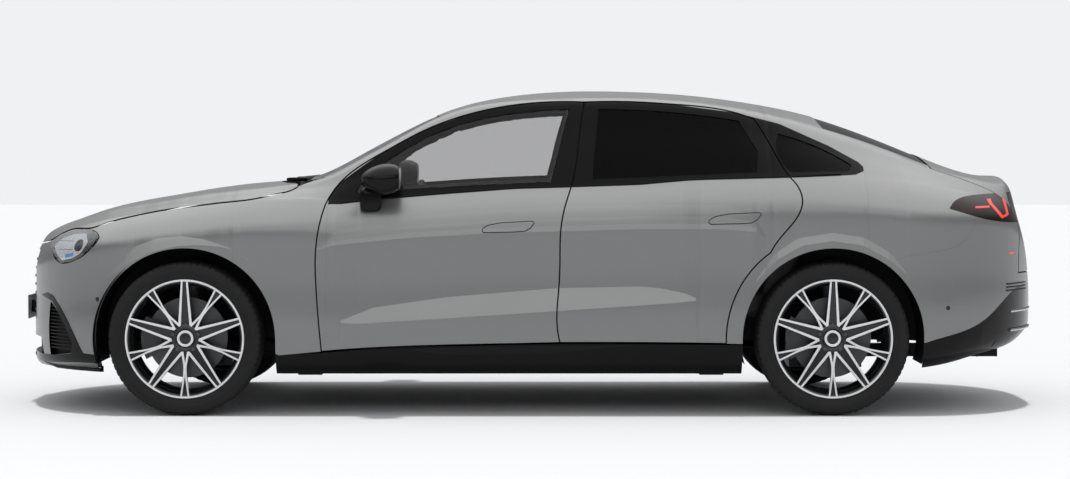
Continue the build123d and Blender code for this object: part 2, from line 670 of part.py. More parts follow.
def make_diffuser():
    """Black lower apron under the rear bumper."""
    region = outline(DIFFUSER_LINE, ((2500, 570), (2500, 150)), ((2500, 150), (1655, 150)),
                     ((1655, 150), (1655, 330)), ((1655, 330), (1821, 334)), grow=-seat_gap / 2)
    half = largest((T["outer"] & across_car(region)) - T["skin"] - REAR_ARCH)
    return largest(half.fuse(mirrored(half)))


def make_sill_trim():
    """Black sill cover between the wheel arches."""
    region = outline(((-1240, 100), (-1240, 270)), ((-1240, 270), SILL_TRIM_TOP[0]), SILL_TRIM_TOP,
                     ((1100, 323), (1100, 100)), ((1100, 100), (-1240, 100)))
    return largest((T["outer"] & across_car(region)) - T["skin"] - FRONT_ARCH - REAR_ARCH)


# Wheels, turned about the Y axis with the outer face toward -Y


def turned(*profile_edges):
    """A ring turned about the wheel's axle from a profile in the radius and width plane."""
    return Solid.revolve(Face(Wire(profile_edges)), 360, Axis.Y)


def polyline_edges(points, closed=True):
    """Straight edges through points."""
    ends = points[1:] + points[:1] if closed else points[1:]
    return [Edge.make_line(p, q) for p, q in zip(points, ends)]


def ring(points):
    """A ring turned from a straight-sided profile of (radius, y) points."""
    return turned(*polyline_edges([(r, y, 0) for r, y in points]))


def make_rim():
    """Alloy wheel: barrel with two lips, hub, disc hat and a star of crossing spokes."""
    lip, half = rim_lip_diameter / 2, rim_width / 2
    seat, well = lip - 18.0, lip - 38.0
    wall = barrel_wall
    outer_line = [(lip, -half), (lip, -half + 7), (seat, -half + 12), (seat, -half + 45),
                  (well, -half + 70), (well, half - 60), (seat, half - 38), (seat, half - 12),
                  (lip, half - 7), (lip, half)]
    inner_line = [(lip - 8, half), (seat - wall, half - 14), (seat - wall, half - 34),
                  (well - wall, half - 56), (well - wall, -half + 66), (seat - wall, -half + 41),
                  (seat - wall, -half + 14), (lip - 8, -half)]
    barrel = ring(outer_line + inner_line)
    hub_face = -half + 22
    hub = ring([(spindle_diameter / 2 + running_clearance, hub_face),
                (hub_diameter / 2, hub_face), (hub_diameter / 2, -half + 78),
                (spindle_diameter / 2 + running_clearance, -half + 78)])
    return largest(barrel.fuse(hub, *make_spokes(seat - wall + 3, hub_face)))


def bar(start, end, width):
    """A flat bar in the wheel's plane between two points, as a face."""
    (x0, z0), (x1, z1) = start, end
    run = math.hypot(x1 - x0, z1 - z0)
    sx, sz = -(z1 - z0) / run * width / 2, (x1 - x0) / run * width / 2
    corners = [(x0 + sx, z0 + sz), (x1 + sx, z1 + sz), (x1 - sx, z1 - sz), (x0 - sx, z0 - sz)]
    return Face(Wire.make_polygon([(x, 0, z) for x, z in corners]))


def polar(radius, degrees, aside=0.0):
    """A point of the wheel's plane at a radius and angle, moved aside square to that radius."""
    a = math.radians(degrees)
    return (radius * math.cos(a) - aside * math.sin(a), radius * math.sin(a) + aside * math.cos(a))


def make_spokes(reach, hub_face):
    """Ten spokes: five closed pairs with a web and five that cross, all meeting in V tips."""
    tip, half_turn = 0.21 * rim_lip_diameter / 2 + 14, 180.0 / spoke_count
    depth, y0 = spoke_depth, -rim_width / 2
    dish = [(40, hub_face + 2), (hub_diameter / 2, hub_face - 3), (160, -rim_width / 2 + 8),
            (reach + 14, -rim_width / 2 + 4), (reach, -rim_width / 2 + 16),
            (reach, -rim_width / 2 + 4 + depth),
            (160, -rim_width / 2 + 12 + depth), (40, hub_face + 10 + depth)]
    band = ring(dish)
    faces = []
    for spoke in range(spoke_count):
        angle = 90.0 + 2 * half_turn * spoke
        paired = spoke % 2 == 0
        for side in (-1, 1):
            start = polar(tip, angle + side * half_turn)
            aside = side * (11.0 if paired else -20.0)
            faces.append(bar(start, polar(reach + 20, angle, aside), spoke_width))
    bars = [Solid.extrude(f.moved(Location((0, -rim_width, 0))), Vector(0, 2 * rim_width, 0))
            for f in faces]
    spokes = band & bars[0].fuse(*bars[1:])
    web_band = ring([(r, y + 9) for r, y in dish[:3]] + [(reach, y0 + 13)] + dish[5:])
    webs = []
    for spoke in range(0, spoke_count, 2):
        angle = 90.0 + 2 * half_turn * spoke
        corners = [polar(tip, angle - half_turn), polar(reach + 20, angle, -11.0),
                   polar(reach + 20, angle, 11.0), polar(tip, angle + half_turn)]
        face = Face(Wire.make_polygon([(x, -rim_width, z) for x, z in corners]))
        webs.append(web_band & Solid.extrude(face, Vector(0, 2 * rim_width, 0)))
    return [s for group in (spokes, *webs) for s in group.solids()]


def make_tyre():
    """Tyre: a turned ring with bulged walls and a slightly crowned tread."""
    bead_y, bead_r = rim_width / 2 - 12.5, rim_lip_diameter / 2 - 18.0 + seat_gap
    half, shoulder = tyre_width / 2, wheel_radius - 12
    wall_r = (bead_r + wheel_radius) / 2 + 6
    wall = [(bead_r, bead_y), (rim_lip_diameter / 2 + 4, bead_y + 4), (wall_r, half),
            (shoulder, half - 14)]
    right = Edge.make_spline([(r, y, 0) for r, y in wall])
    left = Edge.make_spline([(r, -y, 0) for r, y in wall[::-1]])
    tread = Edge.make_three_point_arc((shoulder, half - 14, 0), (wheel_radius, 0, 0),
                                      (shoulder, 14 - half, 0))
    bead = Edge.make_line((bead_r, -bead_y, 0), (bead_r, bead_y, 0))
    return turned(bead, right, tread, left)


def make_disc():
    """Brake disc with its hat, bolted to the back of the hub."""
    back = -rim_width / 2 + 78
    radius, swept = disc_diameter / 2, disc_diameter / 2 - 62
    hat, bore = 82.0, spindle_diameter / 2 + running_clearance
    return ring([(bore, back), (hat, back), (hat, back + 34), (radius, back + 34),
                 (radius, back + 34 + disc_thickness), (swept, back + 34 + disc_thickness),
                 (swept, back + 42), (hat - 8, back + 42), (hat - 8, back + 8), (bore, back + 8)])


def at_wheel(shape, axle_x, side):
    """A wheel piece set on its axle. The left side is -1 and the right one is its mirror."""
    moved = shape.moved(Location((axle_x, -wheel_y, wheel_radius)))
    return moved if side < 0 else mirrored(moved)


def caliper():
    """Brake caliper: an arc over the disc's edge, ahead of the axle."""
    back = -rim_width / 2 + 78
    inner, outer = disc_diameter / 2 - 70, disc_diameter / 2 + 26
    body = ring([(inner, back + 14), (outer, back + 14), (outer, back + 34 + disc_thickness + 22),
                 (inner, back + 34 + disc_thickness + 22)])
    slot = ring([(inner - 5, back + 34 - 6), (disc_diameter / 2 + 7, back + 34 - 6),
                 (disc_diameter / 2 + 7, back + 34 + disc_thickness + 6),
                 (inner - 5, back + 34 + disc_thickness + 6)])
    wedge = [(0, -300, 0), polar3(400, 152), polar3(400, 208)]
    wedge_prism = Solid.extrude(Face(Wire.make_polygon(wedge)), Vector(0, 600, 0))
    return largest((body & wedge_prism) - slot)


def polar3(radius, degrees):
    """A polar point of the wheel's plane, well outboard of the wheel."""
    x, z = polar(radius, degrees)
    return (x, -300, z)


def make_upright():
    """Upright: spindle, boss and arms to the two ball joints, with the caliper bolted on."""
    back = -rim_width / 2 + 78
    spindle = Solid.make_cylinder(spindle_diameter / 2, 60, Plane((0, back - 42, 0),
                                                                  z_dir=(0, 1, 0)))
    face = back + 34 + disc_thickness + 12
    boss = ring([(0.01, back + 12), (spindle_diameter / 2 + 8, back + 12),
                 (spindle_diameter / 2 + 8, face), (62, face), (62, face + 26), (0.01, face + 26)])
    post = box(-28, 28, face, face + 26, -BALL_JOINT, BALL_JOINT)
    lug = box(-disc_diameter / 2 + 10, 0, face, face + 18, -30, 30)
    return largest(spindle.fuse(boss, post, lug, caliper()))


BALL_JOINT = 130.0
# Chassis, battery and cabin
frame_wall = 10.0
battery_length, battery_width = 1700.0, 1240.0
front_well_y = 486.0
rear_well_y = 600.0
pan_top = floor_top - 4.0
front_strut_radius = 44.0
rear_strut_radius = 34.0
front_strut_y = front_well_y + 74
rear_strut_y = wheel_y - tyre_width / 2 - rear_strut_radius - 8
motor_radius, motor_length = 140.0, 420.0
BATTERY_FRONT = along(-890)
CRADLE_HEIGHT = 52.0
ARM_THICKNESS = 18.0
UPRIGHT_FOOT = wheel_radius - BALL_JOINT
CRADLE_LOW = UPRIGHT_FOOT - ARM_THICKNESS - 8
dash_depth, console_width = 330.0, 250.0
seat_width, cushion_length = 520.0, 520.0
SEAT_BASE = 560.0
jack_pad_y = cabin_half - jack_pad_inset
JACK_PAD_X = (along(-1000), along(850))
HEEL_X = along(1180)


def make_underbody():
    """Floor pan, beams, firewall, trunk floor and the four wheelhouses, in one piece."""
    front, rear = along(-1120), along(960)
    beam_y, low = cabin_half - 4, ground_clearance + 10
    side_in = battery_width / 2 + 10
    shapes = [box(front, rear, -beam_y, beam_y, pan_top - frame_wall, pan_top)]
    shapes += [box(front, rear, y0, y1, low, pan_top)
               for y0, y1 in ((-beam_y, -side_in), (side_in, beam_y))]
    shapes += [box(x0, x1, -beam_y, beam_y, low, pan_top)
               for x0, x1 in ((front, BATTERY_FRONT - 10), (BATTERY_FRONT + battery_length + 10,
                                                           rear))]
    wall_half = crown_half(-1102) - glass_land - backing_gap
    shapes.append(box(FIREWALL_X - 20, FIREWALL_X - 6, -wall_half, wall_half, pan_top - 20,
                      up(960)))
    cradle_top = CRADLE_LOW + CRADLE_HEIGHT + seat_gap
    shapes.append(box(along(-2150), front + 5, -front_well_y + 8, front_well_y - 8, cradle_top,
                      cradle_top + 10))
    for y in (front_well_y - 50, rear_well_y - 40):
        for side in (-1, 1):
            x0, x1 = (along(-2150), front + 5) if y < front_well_y else (HEEL_X, along(2200))
            shapes.append(box(x0, x1, side * y - 28, side * y + 28, cradle_top, cradle_top + 60))
    hump_x, hump_z, floor_z = along(1645), up(SEAT_BASE), up(400)
    half = rear_well_y - 6
    shapes += [
        box(rear - 5, HEEL_X + 10, -half, half, pan_top - frame_wall, pan_top),
        box(HEEL_X, HEEL_X + 10, -half, half, cradle_top, hump_z + 10),
        box(HEEL_X, hump_x, -half, half, hump_z, hump_z + 10),
        box(SEAT_BACK_X + 4, SEAT_BACK_X + 14, -half, half, hump_z, up(985)),
        box(hump_x - 10, hump_x, -half, half, floor_z, hump_z + 10),
        box(hump_x - 10, along(2200), -half, half, floor_z, floor_z + 10),
        box(along(2190), along(2200), -half, half, cradle_top, up(600)),
    ]
    shapes += [box(along(2100), along(2110), side * half - 8, side * half + 8, cradle_top,
                   floor_z + 5) for side in (-1, 1)]
    shapes += [jack_pad(x, side * jack_pad_y, low) for x in JACK_PAD_X for side in (-1, 1)]
    wells = [liner(front_axle_x, front_well_y), liner(rear_axle_x, rear_well_y)]
    return largest(shapes[0].fuse(*shapes[1:], *wells, *[mirrored(w) for w in wells]))


def jack_pad(x, y, top):
    """A flat pad under a side beam, where a jack lifts the car."""
    return box(x - jack_pad_length / 2, x + jack_pad_length / 2, y - jack_pad_width / 2,
               y + jack_pad_width / 2, ground_clearance, top)


def liner(x, inner_y):
    """Left wheelhouse: a half barrel over the wheel, closed on its inner side above the axle."""
    outer_radius = arch_radius + liner_wall
    deep = T["backing"] & disc_across(x, outer_radius, -half_width, -inner_y)
    deep = deep - disc_across(x, arch_radius, -half_width - 10, -inner_y - liner_wall)
    lower = box(x - 600, x + 600, -half_width, 0, -100, up(330))
    shell = deep - lower
    inner = box(x - 130, x + 130, -inner_y - 20, -inner_y + 20, 0, up(440))
    return largest(shell - inner)


def make_battery():
    """Traction battery, one plain block under the floor."""
    return box(BATTERY_FRONT, BATTERY_FRONT + battery_length, -battery_width / 2,
               battery_width / 2, ground_clearance, pan_top - frame_wall - seat_gap)


def make_suspension(axle_x, inner_y, strut_y, radius, carries_motor):
    """Subframe with its lower arms and spring struts for one axle."""
    low = CRADLE_LOW
    cradle = box(axle_x - 170, axle_x + 170, -inner_y + 40, inner_y - 40, low,
                 low + CRADLE_HEIGHT)
    cradle = cradle - box(axle_x - 110, axle_x + 110, -inner_y + 110, inner_y - 110, low - 1,
                          low + CRADLE_HEIGHT + 1)
    shapes = []
    arm_z = UPRIGHT_FOOT - seat_gap - ARM_THICKNESS
    for side in (-1, 1):
        root_y, waist_y = side * (inner_y - 60), side * (inner_y + 60)
        end_y = side * (wheel_y - kingpin_inset + 18)
        corners = [(axle_x - 150, root_y), (axle_x + 150, root_y), (axle_x + 60, waist_y),
                   (axle_x + 24, end_y), (axle_x - 24, end_y), (axle_x - 60, waist_y)]
        face = Face(Wire.make_polygon([(x, y, arm_z) for x, y in corners]))
        shapes.append(Solid.extrude(face, Vector(0, 0, ARM_THICKNESS)))
        foot = (axle_x, side * strut_y)
        shapes.append(Solid.make_cylinder(radius * 0.6, up(700) - arm_z, Plane((*foot, arm_z))))
        shapes.append(Solid.make_cylinder(radius, up(680) - up(400), Plane((*foot, up(400)))))
    if carries_motor:
        motor_z = low + CRADLE_HEIGHT + motor_radius - 20
        shapes.append(disc_across(axle_x + 40, motor_radius, -motor_length / 2,
                                  motor_length / 2, motor_z))
        shapes += [box(axle_x - 112, axle_x + 112, y - 20, y + 20, low, low + CRADLE_HEIGHT)
                   for y in (-120, 120)]
    return largest(cradle.fuse(*shapes))


def make_seat(x, y, z, width=seat_width, back_lean=18.0):
    """A front seat as a simple closed form: cushion, leaning back and headrest."""
    cushion = box(x, x + cushion_length, y - width / 2, y + width / 2, z, z + 170)
    cushion = cushion.fillet(50, cushion.edges().filter_by(Axis.X))
    back = box(0, 130, -width / 2, width / 2, 0, 610)
    back = back.fillet(45, back.edges().filter_by(Axis.Z))
    back = back.moved(Location((x + cushion_length - 110, y, z + 90), (0, back_lean, 0)))
    rest = box(20, 110, -130, 130, 590, 790)
    rest = rest.fillet(36, rest.edges().filter_by(Axis.Y))
    rest = rest.moved(Location((x + cushion_length - 110, y, z + 90), (0, back_lean, 0)))
    plinth = box(x + 60, x + cushion_length - 60, y - width / 2 + 60, y + width / 2 - 60,
                 pan_top + seat_gap, z + 20)
    return largest(cushion.fuse(back, rest, plinth))


def make_rear_bench():
    """Rear bench across the cabin: one cushion and one leaning back."""
    x, half = along(640), cabin_half - 45
    cushion = box(x, x + 520, -half, half, pan_top + seat_gap, up(560))
    back = box(0, 120, -half + 10, half - 10, 0, 560)
    back = back.moved(Location((x + 430, 0, up(430)), (0, 22, 0)))
    bench = cushion.fuse(back) - box(HEEL_X - seat_gap, tail_x, -half, half, 0,
                                     up(SEAT_BASE) + 10 + seat_gap)
    well = disc_across(rear_axle_x, arch_radius + liner_wall + 25, -half_width, -rear_well_y + 25)
    return largest(bench - well - mirrored(well))


def make_dashboard():
    """Dashboard with its centre console."""
    x = FIREWALL_X + seat_gap
    width = cabin_half - 12
    low, high = up(640), up(985)
    profile = [(x, 0, low), (x + 150, 0, low), (x + dash_depth, 0, low + 110),
               (x + dash_depth, 0, high - 45), (x + 200, 0, high - 4), (x, 0, high - 20)]
    body = Solid.extrude(Face(Wire.make_polygon(profile)), Vector(0, 2 * width, 0))
    body = body.moved(Location((0, -width, 0)))
    console = box(x + 60, along(60), -console_width / 2, console_width / 2, pan_top + seat_gap,
                  up(600))
    stack = box(x + 60, x + 300, -console_width / 2, console_width / 2, pan_top + seat_gap,
                up(700))
    screen = box(x + dash_depth - 40, x + dash_depth + 8, -190, 190, up(800), up(960))
    body = body & tube(cabin_wall + trim_clearance)
    return largest(body.fuse(console, stack, screen))


def make_steering_wheel():
    """Steering wheel on its column's axis: rim, three spokes and boss."""
    radius = steering_wheel_diameter / 2
    rim = Solid.make_torus(radius - 14, 14)
    boss = Solid.make_cylinder(62, 44, Plane((0, 0, -34)))
    shapes = [boss]
    for angle in (0, 180, 270):
        spoke = box(50, radius - 12, -17, 17, -12, 2)
        shapes.append(spoke.moved(Location((0, 0, 0), (0, 0, angle))))
    return largest(rim.fuse(*shapes)).moved(STEERING_PLACE)


STEERING_RAKE = 65.0
STEERING_CENTRE = (along(-430), -across(375), up(905))
STEERING_PLACE = Location(STEERING_CENTRE, (0, STEERING_RAKE, 0)) * Location((0, 0, 0), (0, 0, 90))


def make_column():
    """Steering column's shroud, from the dashboard to just short of the wheel's boss."""
    column = Solid.make_cylinder(38, column_length, Plane((0, 0, -34 - 5 - column_length)))
    return column.moved(Location(STEERING_CENTRE, (0, STEERING_RAKE, 0)))


def make_mirror():
    """Left door mirror: a foot on the door and a rounded housing."""
    y = across(862)
    shell = box(along(-750), along(-572), -y - 190, -y - 6, up(1012), up(1148))
    shell = shell.fillet(34, shell.edges())
    foot = box(along(-748), along(-668), -y - 40, -y + 40, up(930), up(1040))
    return largest(shell.fuse(largest(foot - T["outer"])))


def make_plate(x, low):
    """A blank number plate."""
    return box(x, x + plate_thickness, -plate_width / 2, plate_width / 2, up(low),
               up(low) + plate_height)


def both(shape):
    """A left piece and its mirror on the right."""
    return shape, mirrored(shape)


def main():
    """Builds every node and writes its file."""
    os.makedirs("parts", exist_ok=True)
    write("underbody", make_underbody())
    write("battery_pack", make_battery())
    write("front_suspension", make_suspension(front_axle_x, front_well_y, front_strut_y,
                                              front_strut_radius, False))
    write("rear_suspension", make_suspension(rear_axle_x, rear_well_y, rear_strut_y,
                                             rear_strut_radius, True))
    write("body_sides", *both(largest(make_body_side())))
    write("front_fenders", *both(make_fender()))
    write("front_bumper", make_front_bumper())
    write("grille", *make_grille())
    write("headlamps", *both(make_headlamp()))
    write("hood", make_hood())
    windshield, roof, rear_window = make_crown()
    write("windshield", windshield)
    write("roof_panel", roof)
    write("rear_window", rear_window)
    write("cowl", make_cowl())
    write("quarter_windows", *both(make_pane(QUARTER_WINDOW)))
    write("rear_bumper", make_rear_bumper())
    write("rear_diffuser", make_diffuser())
    body_lamp, lid_lamp = make_tail_lamps()
    write("tail_lamps", *both(body_lamp))
    write("trunk_lamps", *both(lid_lamp))
    write("trunk_lid", make_trunk_lid())
    write("sill_trims", *both(make_sill_trim()))
    for place, sides, window in (("front", FRONT_DOOR, FRONT_WINDOW),
                                 ("rear", REAR_DOOR, REAR_WINDOW)):
        doors = both(make_door(sides, window, place == "rear"))
        panes = both(make_pane(window))
        for hand, door, pane in zip(("left", "right"), doors, panes):
            write(f"{place}_{hand}_door", door)
            write(f"{place}_{hand}_window", pane)
    for hand, mirror in zip(("left", "right"), both(make_mirror())):
        write(f"{hand}_mirror", mirror)
    wheel, tyre, upright = make_rim().fuse(make_disc()), make_tyre(), make_upright()
    for place, axle_x in (("front", front_axle_x), ("rear", rear_axle_x)):
        for hand, side in (("left", -1), ("right", 1)):
            write(f"{place}_{hand}_wheel", at_wheel(largest(wheel), axle_x, side))
            write(f"{place}_{hand}_tyre", at_wheel(tyre, axle_x, side))
    for hand, side in (("left", -1), ("right", 1)):
        write(f"front_{hand}_upright", at_wheel(upright, front_axle_x, side))
    write("rear_uprights", *[at_wheel(upright, rear_axle_x, side) for side in (-1, 1)])
    seat = make_seat(along(-330), -across(385), floor_top)
    write("front_seats", *both(seat))
    write("rear_bench", make_rear_bench())
    write("dashboard", largest(make_dashboard().fuse(make_column())))
    write("steering_wheel", make_steering_wheel())
    write("number_plate", make_plate(nose_x, PLATE_LOW))


if __name__ == "__main__":
    main()
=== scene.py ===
"""Visual model of the four-door luxury sedan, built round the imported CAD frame.

Metres, in the part's own frame: the origin on the ground under the middle of the car, +X to the
rear, +Y to the car's right-hand side and +Z up. New pieces are numpy surfaces. Panels keep the CAD
shapes and take smooth normals from the body's own surface.
"""

import json
import math

import bmesh
import bpy
import numpy as np
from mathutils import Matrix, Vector


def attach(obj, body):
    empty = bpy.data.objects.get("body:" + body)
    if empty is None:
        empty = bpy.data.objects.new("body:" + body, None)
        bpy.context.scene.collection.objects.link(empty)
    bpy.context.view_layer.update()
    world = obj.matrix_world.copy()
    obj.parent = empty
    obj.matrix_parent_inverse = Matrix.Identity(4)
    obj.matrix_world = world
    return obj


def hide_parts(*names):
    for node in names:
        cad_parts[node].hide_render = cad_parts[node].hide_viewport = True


bl_info = {
    "name": "Luxury Sedan",
    "version": (1, 0, 0),
    "blender": (4, 5, 0),
    "location": "3D View > Sidebar > Sedan",
    "description": "Builds the finished pieces of a four-door sedan round its frame",
    "category": "Add Mesh",
}

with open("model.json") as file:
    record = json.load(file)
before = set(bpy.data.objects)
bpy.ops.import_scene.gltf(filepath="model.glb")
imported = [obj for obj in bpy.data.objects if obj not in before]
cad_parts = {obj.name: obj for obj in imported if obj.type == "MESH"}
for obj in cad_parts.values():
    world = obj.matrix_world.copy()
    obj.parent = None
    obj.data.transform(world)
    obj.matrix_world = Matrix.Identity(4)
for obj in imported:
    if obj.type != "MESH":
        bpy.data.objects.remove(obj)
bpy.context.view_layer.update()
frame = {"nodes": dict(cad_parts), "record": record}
BODIES = frame["record"]["behaviour"]["bodies"]
BODY_OF = {node: body for body, nodes in BODIES.items() for node in nodes}

# Wheels and wheelhouses, in metres
FRONT_AXLE_X, REAR_AXLE_X = -1.572, 1.390
WHEEL_Y, WHEEL_RADIUS = 0.802, 0.352
RIM_RADIUS, SPOKES = 0.2725, 10
WELL_WALLS = ((FRONT_AXLE_X, 0.487), (REAR_AXLE_X, 0.600))
WELL_RADIUS, WELL_SHEET, WELL_EDGE_Y = 0.420, 0.002, 0.90

# The camera fitted to the photo
CAMERA_PLACE, CAMERA_PITCH = (0.028, -13.47, 1.223), math.radians(88.1)
CAMERA_LENS, CAMERA_SENSOR = 92.73, 36.0

# A face belongs to a panel's skin within this depth of the body and this cosine of its normal
SKIN_DEPTH, SKIN_COSINE = 0.006, 0.85
# Points closer than this are merged, in metres
MERGE = 1e-5

# A float curve holds lines of height along x: its 0 to 1 stand for this range, in metres
CURVE_START, CURVE_LENGTH, CURVE_RISE = 2.5, 5.0, 1.6

# The studio: how bright the mirrored sky is by height, the sun's width and the lamp's place
SKY_LOW = (0.05, (0.11, 0.112, 0.116, 1))
SKY_MIDDLE = (0.30, (0.14, 0.14, 0.145, 1))
SKY_HIGH = (0.70, (1.0, 1.0, 1.0, 1))
SKY_GAIN, SUN_ANGLE = 2.0, math.radians(3.5)
LAMP_PLACE, LAMP_AIM, LAMP_SIZE = (0, -9, 3.6), (0, 9, -3.1), (9.0, 2.0)

# The body's guide lines: drawn place along the car, height, or share of the half width, in mm
DRAWN_SHIFT = -8.5
ROOF_LINE = (
    (-2370, 690), (-2362, 722), (-2350, 750), (-2336, 783), (-2294, 827), (-2143, 890),
    (-1955, 950), (-1743, 990), (-1491, 1032), (-1188, 1066), (-1070, 1078), (-965, 1112),
    (-770, 1213), (-575, 1316), (-379, 1404), (-183, 1458), (12, 1484), (208, 1497), (500, 1497),
    (794, 1477), (1087, 1438), (1380, 1375), (1674, 1272), (1870, 1192), (1990, 1144), (2100, 1108),
    (2200, 1090), (2285, 1086), (2303, 1060), (2330, 965), (2352, 869), (2366, 790), (2376, 720),
    (2383, 640), (2392, 580), (2403, 535), (2413, 505))
FLOOR_LINE = (
    (-2370, 260), (-2350, 215), (-2300, 200), (-1900, 195), (-1150, 178), (980, 178), (1800, 205),
    (2100, 270), (2250, 303), (2373, 365), (2400, 385), (2413, 400))
RAIL_LINE = (
    (-2370, 676), (-2350, 734), (-2336, 768), (-2294, 814), (-2143, 875), (-1955, 932),
    (-1743, 970), (-1491, 1011), (-1188, 1044), (-1070, 1058), (-965, 1075), (-800, 1148),
    (-600, 1255), (-433, 1345), (-266, 1400), (0, 1432), (500, 1440), (794, 1420), (1000, 1392),
    (1200, 1347), (1400, 1297), (1700, 1200), (1900, 1126), (2100, 1078), (2200, 1058),
    (2285, 1045), (2303, 1010), (2330, 930), (2352, 843), (2366, 768), (2376, 700), (2392, 565),
    (2413, 495))
BELT_LINE = (
    (-2370, 640), (-2350, 690), (-2336, 732), (-2294, 768), (-2143, 835), (-1955, 888),
    (-1743, 925), (-1564, 948), (-1188, 985), (-965, 985), (-855, 971), (-659, 988), (-361, 1013),
    (-62, 1035), (200, 1043), (517, 1055), (754, 1075), (1210, 1088), (1432, 1088), (1700, 1062),
    (1900, 1040), (2100, 1012), (2250, 975), (2303, 920), (2330, 860), (2352, 795), (2366, 732),
    (2376, 675), (2392, 545), (2413, 480))
RAIL_SHARE = (
    (-2370, 0.50), (-2143, 0.54), (-1743, 0.60), (-1188, 0.70), (-965, 0.75), (-800, 0.775),
    (-600, 0.735), (-433, 0.70), (-266, 0.68), (0, 0.665), (500, 0.66), (1000, 0.635), (1400, 0.60),
    (1900, 0.61), (2200, 0.62), (2413, 0.50))
BELT_SHARE = (
    (-2370, 0.80), (-2143, 0.83), (-1743, 0.84), (-1188, 0.88), (-965, 0.91), (-855, 0.922),
    (0, 0.915), (1000, 0.905), (1432, 0.89), (1700, 0.86), (2100, 0.84), (2413, 0.80))
WAIST_WIDTH = ((-2370, 905), (-1755, 918), (-1100, 932), (0, 934), (900, 940), (1400, 944),
               (1800, 930), (2413, 900))
SIDE_ROWS = ((0.86, 0.0), (0.952, 0.06), (0.985, 0.18), (0.998, 0.33), (0.992, 0.50), (1.0, 0.765),
             (0.993, 0.86))
NOSE_PLAN = (-2370.0, 640.0, 120.0, 2.0, -1)
TAIL_PLAN = (2413.0, 640.0, 120.0, 2.05, 1)
STATIONS = np.array((
    -2370, -2368, -2363, -2354, -2340, -2318, -2285, -2230, -2150, -2030, -1880, -1700, -1500,
    -1280, -1100, -1000, -900, -780, -640, -480, -300, -100, 150, 450, 750, 1050, 1350, 1600, 1800,
    1950, 2080, 2180, 2240, 2275, 2296, 2316, 2336, 2355, 2371, 2385, 2397, 2407, 2411.5, 2413.0))


# Curves and the body's surface


def monotone(points, x):
    """A smooth line through points with no overshoot: cubic pieces whose end slopes are the
    weighted harmonic mean of the chords beside them, or zero where the chords change sign."""
    px, py = np.array(points, float).T
    step, chord = np.diff(px), np.diff(py) / np.diff(px)
    slope = np.zeros(len(px))
    same = chord[:-1] * chord[1:] > 0
    w1, w2 = 2 * step[1:] + step[:-1], step[1:] + 2 * step[:-1]
    inner = np.zeros(len(px) - 2)
    inner[same] = (w1 + w2)[same] / (w1[same] / chord[:-1][same] + w2[same] / chord[1:][same])
    slope[1:-1] = inner
    slope[0], slope[-1] = chord[0], chord[-1]
    x = np.clip(x, px[0], px[-1])
    i = np.clip(np.searchsorted(px, x, side="right") - 1, 0, len(step) - 1)
    h, t = step[i], (x - px[i]) / step[i]
    return (py[i] * (1 + 2 * t) * (1 - t) ** 2 + h * slope[i] * t * (1 - t) ** 2
            + py[i + 1] * t * t * (3 - 2 * t) - h * slope[i + 1] * t * t * (1 - t))


def spline(knots, values, at):
    """A natural cubic spline through values, one row a knot, at new parameters."""
    knots, values = np.asarray(knots, float), np.asarray(values, float)
    flat = values.reshape(len(knots), -1)
    h = np.diff(knots)
    system = np.eye(len(knots))
    right = np.zeros_like(flat)
    i = np.arange(1, len(knots) - 1)
    system[i, i - 1], system[i, i], system[i, i + 1] = h[:-1], 2 * (h[:-1] + h[1:]), h[1:]
    rate = np.diff(flat, axis=0) / h[:, None]
    right[1:-1] = 6 * np.diff(rate, axis=0)
    bend = np.linalg.solve(system, right)
    k = np.clip(np.searchsorted(knots, at, side="right") - 1, 0, len(h) - 1)
    a, b = (knots[k + 1] - at)[:, None], (at - knots[k])[:, None]
    hk = h[k][:, None]
    out = (bend[k] * a**3 + bend[k + 1] * b**3) / (6 * hk)
    out += (flat[k] / hk - bend[k] * hk / 6) * a + (flat[k + 1] / hk - bend[k + 1] * hk / 6) * b
    return out.reshape((len(at),) + values.shape[1:])


def plan_width(x):
    """Half width in plan: a slow line, rounded at both ends as quarter superellipses."""
    width = monotone(WAIST_WIDTH, x)
    for tip, reach, flat, power, sign in (NOSE_PLAN, TAIL_PLAN):
        t = np.clip((sign * (x - tip) + reach) / reach, 0, 1)
        width = np.where(t > 0, flat + (width - flat) * (1 - t**power) ** (1 / power), width)
    return width


def half_sections(x):
    """Points up one half of each section: sill, flank, shoulder, glass rail and roof, where the
    roof rises as one less a power of the share of the width."""
    waist, low, top = plan_width(x), monotone(FLOOR_LINE, x), monotone(ROOF_LINE, x)
    belt, rail = monotone(BELT_LINE, x), monotone(RAIL_LINE, x)
    belt_y, rail_y = waist * monotone(BELT_SHARE, x), waist * monotone(RAIL_SHARE, x)
    rows = [(share * waist, low + rise * (belt - low)) for share, rise in SIDE_ROWS]
    rows.append((belt_y + 0.55 * (0.993 * waist - belt_y), low + 0.945 * (belt - low)))
    rows.append((belt_y, belt))
    for share, bow in ((0.12, 0.0), (0.40, 0.018), (0.72, 0.020), (1.0, 0.0)):
        crown = bow * (rail - belt + 60) * 0.9
        rows.append((belt_y + (rail_y - belt_y) * share + crown, belt + (rail - belt) * share))
    for share in (0.78, 0.45, 0.20, 0.0):
        rows.append((rail_y * share, rail + (top - rail) * (1 - share**2.2)))
    return np.array(rows).transpose(2, 0, 1)


